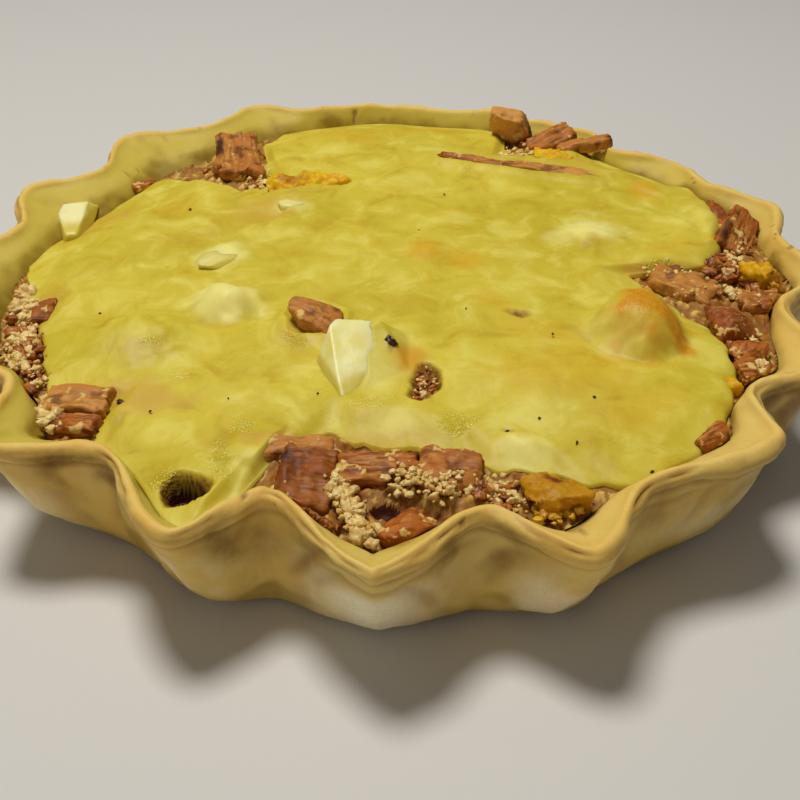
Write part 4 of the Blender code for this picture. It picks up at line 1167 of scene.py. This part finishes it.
# Specks of burnt herb or crust on the cheese: x, y, size
SPECKS = [
    (-59.8, -58.9, 1.5), (-56.8, 38.8, 0.9), (-64.2, 5.3, 0.7), (38.5, -69.3, 0.9), (46.3, -77.3, 0.8),
    (62.2, -84.5, 0.9), (23.7, -23.1, 0.6), (44.9, -35.6, 0.7), (53.1, -19.5, 0.7), (-12.9, -58.9, 0.6),
    (-51.9, -63.8, 0.6), (-72.2, -20.5, 0.7), (30.8, -73.9, 1.2), (4.6, -43.6, 2), (3.6, -42.6, 1.3),
    (-34, -60, 0.5), (12, 20, 0.5), (52, -62, 0.6), (70, -60, 0.6), (20, 44, 0.5),
]


def make_crumbs(curd, ham, yolk, burnt):
    strewn = [
        ("curd_crumbs", CURD_STREAKS, curd, "filling", 1.0), ("ham_crumbs", HAM_STREAKS, ham, "ham", 1.7),
        ("yolk_crumbs", YOLK_STREAKS, yolk, "yolk", 1.0)]
    for seed, (name, streaks, material, slot, length) in zip((901, 903, 905), strewn):
        scatter(name, *chance_along(streaks, seed), seed + 1, material, slot, length)
    specks = np.array(SPECKS)
    top = cheese_form(specks[:, 0], specks[:, 1])[0]
    places = np.column_stack([specks[:, 0], specks[:, 1], top + 0.1])
    scatter("burnt_specks", places, specks[:, 2], 908, burnt, "cheese", 1.6)


# Materials

class Surface:
    """A material as it is built up: each method adds a node and gives its output."""

    def __init__(self, name, **settings):
        self.material = bpy.data.materials.new(name)
        self.material.use_nodes = True
        self.tree = self.material.node_tree
        self.shader = self.tree.nodes["Principled BSDF"]
        for socket, value in settings.items():
            self.shader.inputs[socket.replace("_", " ")].default_value = value

    def node(self, kind, output, inputs, **settings):
        node = self.tree.nodes.new("ShaderNode" + kind)
        for key, value in settings.items():
            setattr(node, key, value)
        for key, value in inputs.items():
            if isinstance(value, bpy.types.NodeSocket):
                self.tree.links.new(value, node.inputs[key])
            else:
                node.inputs[key].default_value = value
        return node.outputs[output]

    def mark(self, name, output="Fac"):
        """A number that the mesh holds for each point."""
        return self.node("Attribute", output, {}, attribute_name=name)

    def part(self, name, share):
        """That number times a share."""
        return self.node("Math", 0, {0: self.mark(name), 1: share}, operation="MULTIPLY")

    def place(self):
        return self.node("TexCoord", "Object", {})

    def noise(self, size_mm, detail=3.0, rough=0.55, distort=0.0):
        return self.node("TexNoise", "Fac", {
            "Vector": self.place(), "Scale": 1.0 / (size_mm * MM), "Detail": detail, "Roughness": rough,
            "Distortion": distort})

    def pebbles(self, size_mm):
        return self.node("TexVoronoi", "Distance", {"Vector": self.place(), "Scale": 1.0 / (size_mm * MM)})

    def span(self, value, low, high, to_low=0.0, to_high=1.0):
        """A value's stretch from low to high, eased into another stretch."""
        return self.node("MapRange", "Result", {
            "Value": value, "From Min": low, "From Max": high, "To Min": to_low, "To Max": to_high},
            interpolation_type="SMOOTHSTEP")

    def blend(self, share, one, two):
        return self.node("Mix", 2, {0: share, 6: one, 7: two}, data_type="RGBA")

    def link(self, value, socket):
        self.tree.links.new(value, self.shader.inputs[socket])

    def paint(self, ground, *coats):
        """A ground colour under coats, each with its share and its colour."""
        colour = tone(*ground)
        for share, coat in coats:
            colour = self.blend(share, colour, tone(*coat) if isinstance(coat, tuple) else coat)
        self.link(colour, "Base Color")

    def relief(self, *bumps):
        """Bumps over one another, each with its pattern, depth in millimetres and strength."""
        under = {}
        for pattern, depth, strength in bumps:
            inputs = {"Height": pattern, "Distance": depth * MM, "Strength": strength}
            under = {"Normal": self.node("Bump", "Normal", {**inputs, **under})}
        self.link(under["Normal"], "Normal")


def tone(red, green, blue):
    """A colour given as it looks on a screen, from 0 to 255, as linear light."""
    def linear(value):
        value = value / 255.0
        return value / 12.92 if value <= 0.04045 else ((value + 0.055) / 1.055) ** 2.4
    return (linear(red), linear(green), linear(blue), 1.0)


def dough_material():
    dough = Surface("baked_dough", Roughness=0.55, Specular_IOR_Level=0.3, Subsurface_Weight=0.3,
                    Subsurface_Scale=0.004, Subsurface_Radius=(1.0, 0.6, 0.25))
    broad, cloud, fine = dough.noise(22.0), dough.noise(7.0), dough.noise(1.6, 4.0, 0.6)
    dust = dough.span(dough.noise(0.9, 3.0, 0.7), 0.35, 0.62, 0.7, 1.0)
    dough.paint(
        (230, 200, 112),
        (dough.span(broad, 0.35, 0.68), (230, 190, 94)),
        (dough.span(cloud, 0.40, 0.75, 0.0, 0.4), (224, 178, 82)),
        (dough.span(fine, 0.45, 0.75, 0.0, 0.16), (205, 160, 80)),
        (dough.mark("inner"), (204, 182, 74)),
        (dough.part("shade", dough.span(cloud, 0.25, 0.7, 0.5, 1.0)), (140, 110, 20)),
        # Toast: real browning, and painted shade in the hollow folds and on the right side.
        (dough.part("toast_and_shade", dough.span(fine, 0.15, 0.7, 0.75, 1.0)), (132, 92, 14)),
        (dough.part("oil", dough.span(broad, 0.2, 0.7, 0.35, 0.85)), (170, 134, 30)),
        # Flour: real flour on the lower lobes, and painted light on the pointed lobe in front.
        (dough.part("flour_and_light", dust), (255, 242, 206)),
        # Painted shade in the creases, pleats and split, and in the dimples of the inner face.
        (dough.part("crease_shade", 0.7), (140, 88, 24)),
        (dough.part("dimple_shade", 0.7), (120, 88, 40)))
    dough.link(dough.span(dough.mark("oil"), 0.0, 1.0, 0.55, 0.4), "Roughness")
    dough.relief((dough.noise(0.6, 4.0, 0.6), 0.10, 0.6), (dough.noise(3.0, 2.0), 0.5, 0.3))
    return dough.material


def filling_material():
    curd = Surface("baked_curd", Roughness=0.55, Specular_IOR_Level=0.2, Subsurface_Weight=0.2,
                   Subsurface_Scale=0.002, Subsurface_Radius=(1.0, 0.5, 0.2))
    fine = curd.noise(1.6, 4.0, 0.65)
    curd.paint(
        (230, 198, 112),
        (curd.span(fine, 0.35, 0.7), (206, 158, 66)),
        (curd.part("meat", curd.span(fine, 0.3, 0.6, 0.3, 1.0)), (172, 108, 28)),
        # Painted shade: the hollows between the curds are darkened, and the pits darkest.
        (curd.span(curd.mark("sunken"), 0.5, 0.95, 0.0, 0.75), (128, 68, 16)),
        (curd.span(curd.mark("sunken"), 1.1, 1.4), (66, 22, 5)))
    curd.relief((fine, 0.4, 0.7))
    return curd.material


def cheese_material():
    cheese = Surface("melted_cheese", Roughness=0.4, Specular_IOR_Level=0.34, Subsurface_Weight=0.4,
                     Subsurface_Scale=0.005, Subsurface_Radius=(1.0, 0.75, 0.15))
    broad, fine = cheese.noise(40.0), cheese.noise(1.6, 3.0, 0.6)
    cloud = cheese.noise(11.0, 4.0, 0.6, 0.6)
    crumbs = cheese.blend(cheese.span(fine, 0.38, 0.6), tone(176, 124, 36), tone(96, 54, 12))
    cheese.paint(
        (203, 184, 46),
        (cheese.span(broad, 0.35, 0.65), (214, 195, 60)),
        (cheese.span(cloud, 0.46, 0.70, 0.0, 0.85), (226, 213, 96)),
        (cheese.span(cloud, 0.48, 0.28, 0.0, 0.75), (190, 160, 30)),
        (cheese.part("pink", 0.75), (204, 162, 62)),
        (cheese.part("gold", 0.75), (216, 166, 18)),
        # Pale: partly pale cheese over egg, and partly painted light on shaded sides of the mound and
        # humps.
        (cheese.part("pale", 0.85), (244, 236, 146)),
        (cheese.part("blister", cheese.span(fine, 0.25, 0.6, 0.6, 1.0)), (212, 142, 2)),
        (cheese.part("hollow", 0.95), crumbs),
        # Painted shade: the inside of the deep hollow is darkened.
        (cheese.mark("deep"), (62, 22, 5)))
    cheese.link(cheese.span(cheese.mark("grain"), 0.0, 1.0, 0.5, 0.2), "Roughness")
    cheese.relief(
        (cheese.part("grain", cheese.pebbles(0.6)), 0.45, 1.0), (cheese.noise(1.0, 3.0, 0.6), 0.07, 0.7),
        (cheese.noise(5.0, 2.0, 0.5), 0.3, 0.3))
    return cheese.material


def ham_material():
    ham = Surface("cooked_ham", Roughness=0.5, Specular_IOR_Level=0.22, Subsurface_Weight=0.25,
                  Subsurface_Scale=0.002, Subsurface_Radius=(1.0, 0.35, 0.2))
    local = ham.mark("local", "Vector")
    stretched = ham.node("Mapping", 0, {"Vector": local, "Scale": (0.14, 1.0, 1.0)})
    strands = ham.node(
        "TexNoise", "Fac", {"Vector": stretched, "Scale": 0.8, "Detail": 4.0, "Roughness": 0.65})
    blotch = ham.node("TexNoise", "Fac", {"Vector": local, "Scale": 0.16, "Detail": 3.0})
    ham.paint(
        (126, 58, 10),
        (ham.span(strands, 0.38, 0.64), (200, 136, 64)),
        (ham.span(blotch, 0.42, 0.62, 0.0, 0.75), (178, 96, 28)),
        # Pale and dark: partly the ham's own tone, partly painted light and painted shade.
        (ham.mark("pale"), (214, 156, 76)),
        (ham.mark("dark"), (122, 58, 10)),
        # Painted shade in the hollows of the torn surface.
        (ham.span(ham.mark("tear"), -0.15, -0.8, 0.0, 0.7), (96, 42, 10)),
        # Painted shade on the lower part of each piece.
        (ham.span(ham.mark("low"), 0.3, 1.0, 0.0, 0.6), (84, 34, 8)),
        (ham.span(ham.mark("curd"), 0.2, 0.6, 0.0, 0.9), (224, 192, 116)),
        (ham.mark("char"), (44, 18, 8)))
    ham.relief((strands, 0.25, 0.6))
    return ham.material


def egg_material():
    egg = Surface("egg_white", Roughness=0.42, Subsurface_Weight=0.5, Subsurface_Scale=0.005,
                  Subsurface_Radius=(1.0, 0.9, 0.5))
    egg.paint(
        (248, 242, 176),
        (egg.span(egg.noise(7.0), 0.35, 0.7), (238, 228, 136)),
        (egg.span(egg.mark("above"), 2.4, 0.6, 0.0, 0.9), (214, 194, 70)))
    egg.relief((egg.noise(1.8), 0.15, 0.4))
    return egg.material


def yolk_material():
    yolk = Surface("egg_yolk", Roughness=0.5, Specular_IOR_Level=0.25, Subsurface_Weight=0.3,
                   Subsurface_Scale=0.003, Subsurface_Radius=(1.0, 0.6, 0.1))
    yolk.paint(
        (230, 190, 16),
        (yolk.span(yolk.noise(4.0, 4.0, 0.6), 0.35, 0.65), (220, 160, 6)),
        (yolk.part("milky", 0.85), (184, 130, 16)),
        # Painted shade in the crevices between the crumbs of yolk.
        (yolk.span(yolk.mark("crumb"), 0.45, 0.85, 0.0, 0.6), (196, 128, 10)),
        (yolk.mark("roast"), (122, 58, 6)))
    yolk.relief((yolk.noise(0.9), 0.3, 0.6))
    return yolk.material


def crumb_material(name, light, dark):
    crumb = Surface(name, Roughness=0.4, Subsurface_Weight=0.15, Subsurface_Scale=0.001)
    crumb.paint(light, (crumb.span(crumb.noise(2.6, 3.0, 0.6), 0.35, 0.65), dark))
    crumb.relief((crumb.noise(0.5, 2.0), 0.2, 0.6))
    return crumb.material


# Stage

def make_floor():
    mesh = bpy.data.meshes.new("floor")
    corners = [(-1, -1), (1, -1), (1, 1), (-1, 1)]
    mesh.from_pydata([(FLOOR_REACH * x, FLOOR_REACH * y, 0) for x, y in corners], [], [(0, 1, 2, 3)])
    mesh.materials.append(Surface("pale_floor", Roughness=0.7, Base_Color=(0.66, 0.65, 0.64, 1.0)).material)
    floor = add_object("floor", mesh)
    floor.location.z = FLOOR_HEIGHT


def add_light(name, place, size, energy, colour):
    data = bpy.data.lights.new(name, "AREA")
    data.shape = "DISK"
    data.size = size
    data.energy = energy
    data.color = colour
    light = add_object(name, data)
    light.location = place
    light.rotation_euler = (Vector(LIGHT_AIM) - Vector(place)).to_track_quat("-Z", "Y").to_euler()


def make_lights():
    add_light("key", (-0.14, 0.12, 1.0), 0.3, 8.0, (1.0, 0.96, 0.88))
    add_light("fill", (-0.7, -1.15, 0.6), 1.2, 1.7, (1.0, 0.96, 0.86))
    world = bpy.data.worlds.new("studio")
    bpy.context.scene.world = world
    world.use_nodes = True
    backdrop = world.node_tree.nodes["Background"]
    backdrop.inputs["Color"].default_value = (1.0, 0.96, 0.86, 1.0)
    backdrop.inputs["Strength"].default_value = 0.13
    bpy.context.scene.view_settings.view_transform = "Standard"


def make_camera():
    data = bpy.data.cameras.new("camera")
    data.lens = CAMERA_LENS
    data.sensor_width = SENSOR
    camera = add_object("camera", data)
    camera.location = Vector(CAMERA_PLACE) * MM
    camera.rotation_euler = (radians(CAMERA_TILT), 0.0, 0.0)
    bpy.context.scene.camera = camera


def main():
    make_camera()
    make_lights()
    make_floor()
    make_case(dough_material())
    make_filling(filling_material())
    make_cheese(cheese_material())
    make_ham(ham_material())
    make_egg(egg_material())
    make_yolk(yolk_material())
    make_crumbs(crumb_material("curd_crumb", (242, 216, 146), (216, 174, 94)),
                crumb_material("ham_crumb", (188, 114, 36), (128, 62, 10)),
                crumb_material("yolk_crumb", (224, 184, 44), (194, 130, 10)),
                crumb_material("burnt_crumb", (70, 36, 12), (30, 14, 6)))


main()
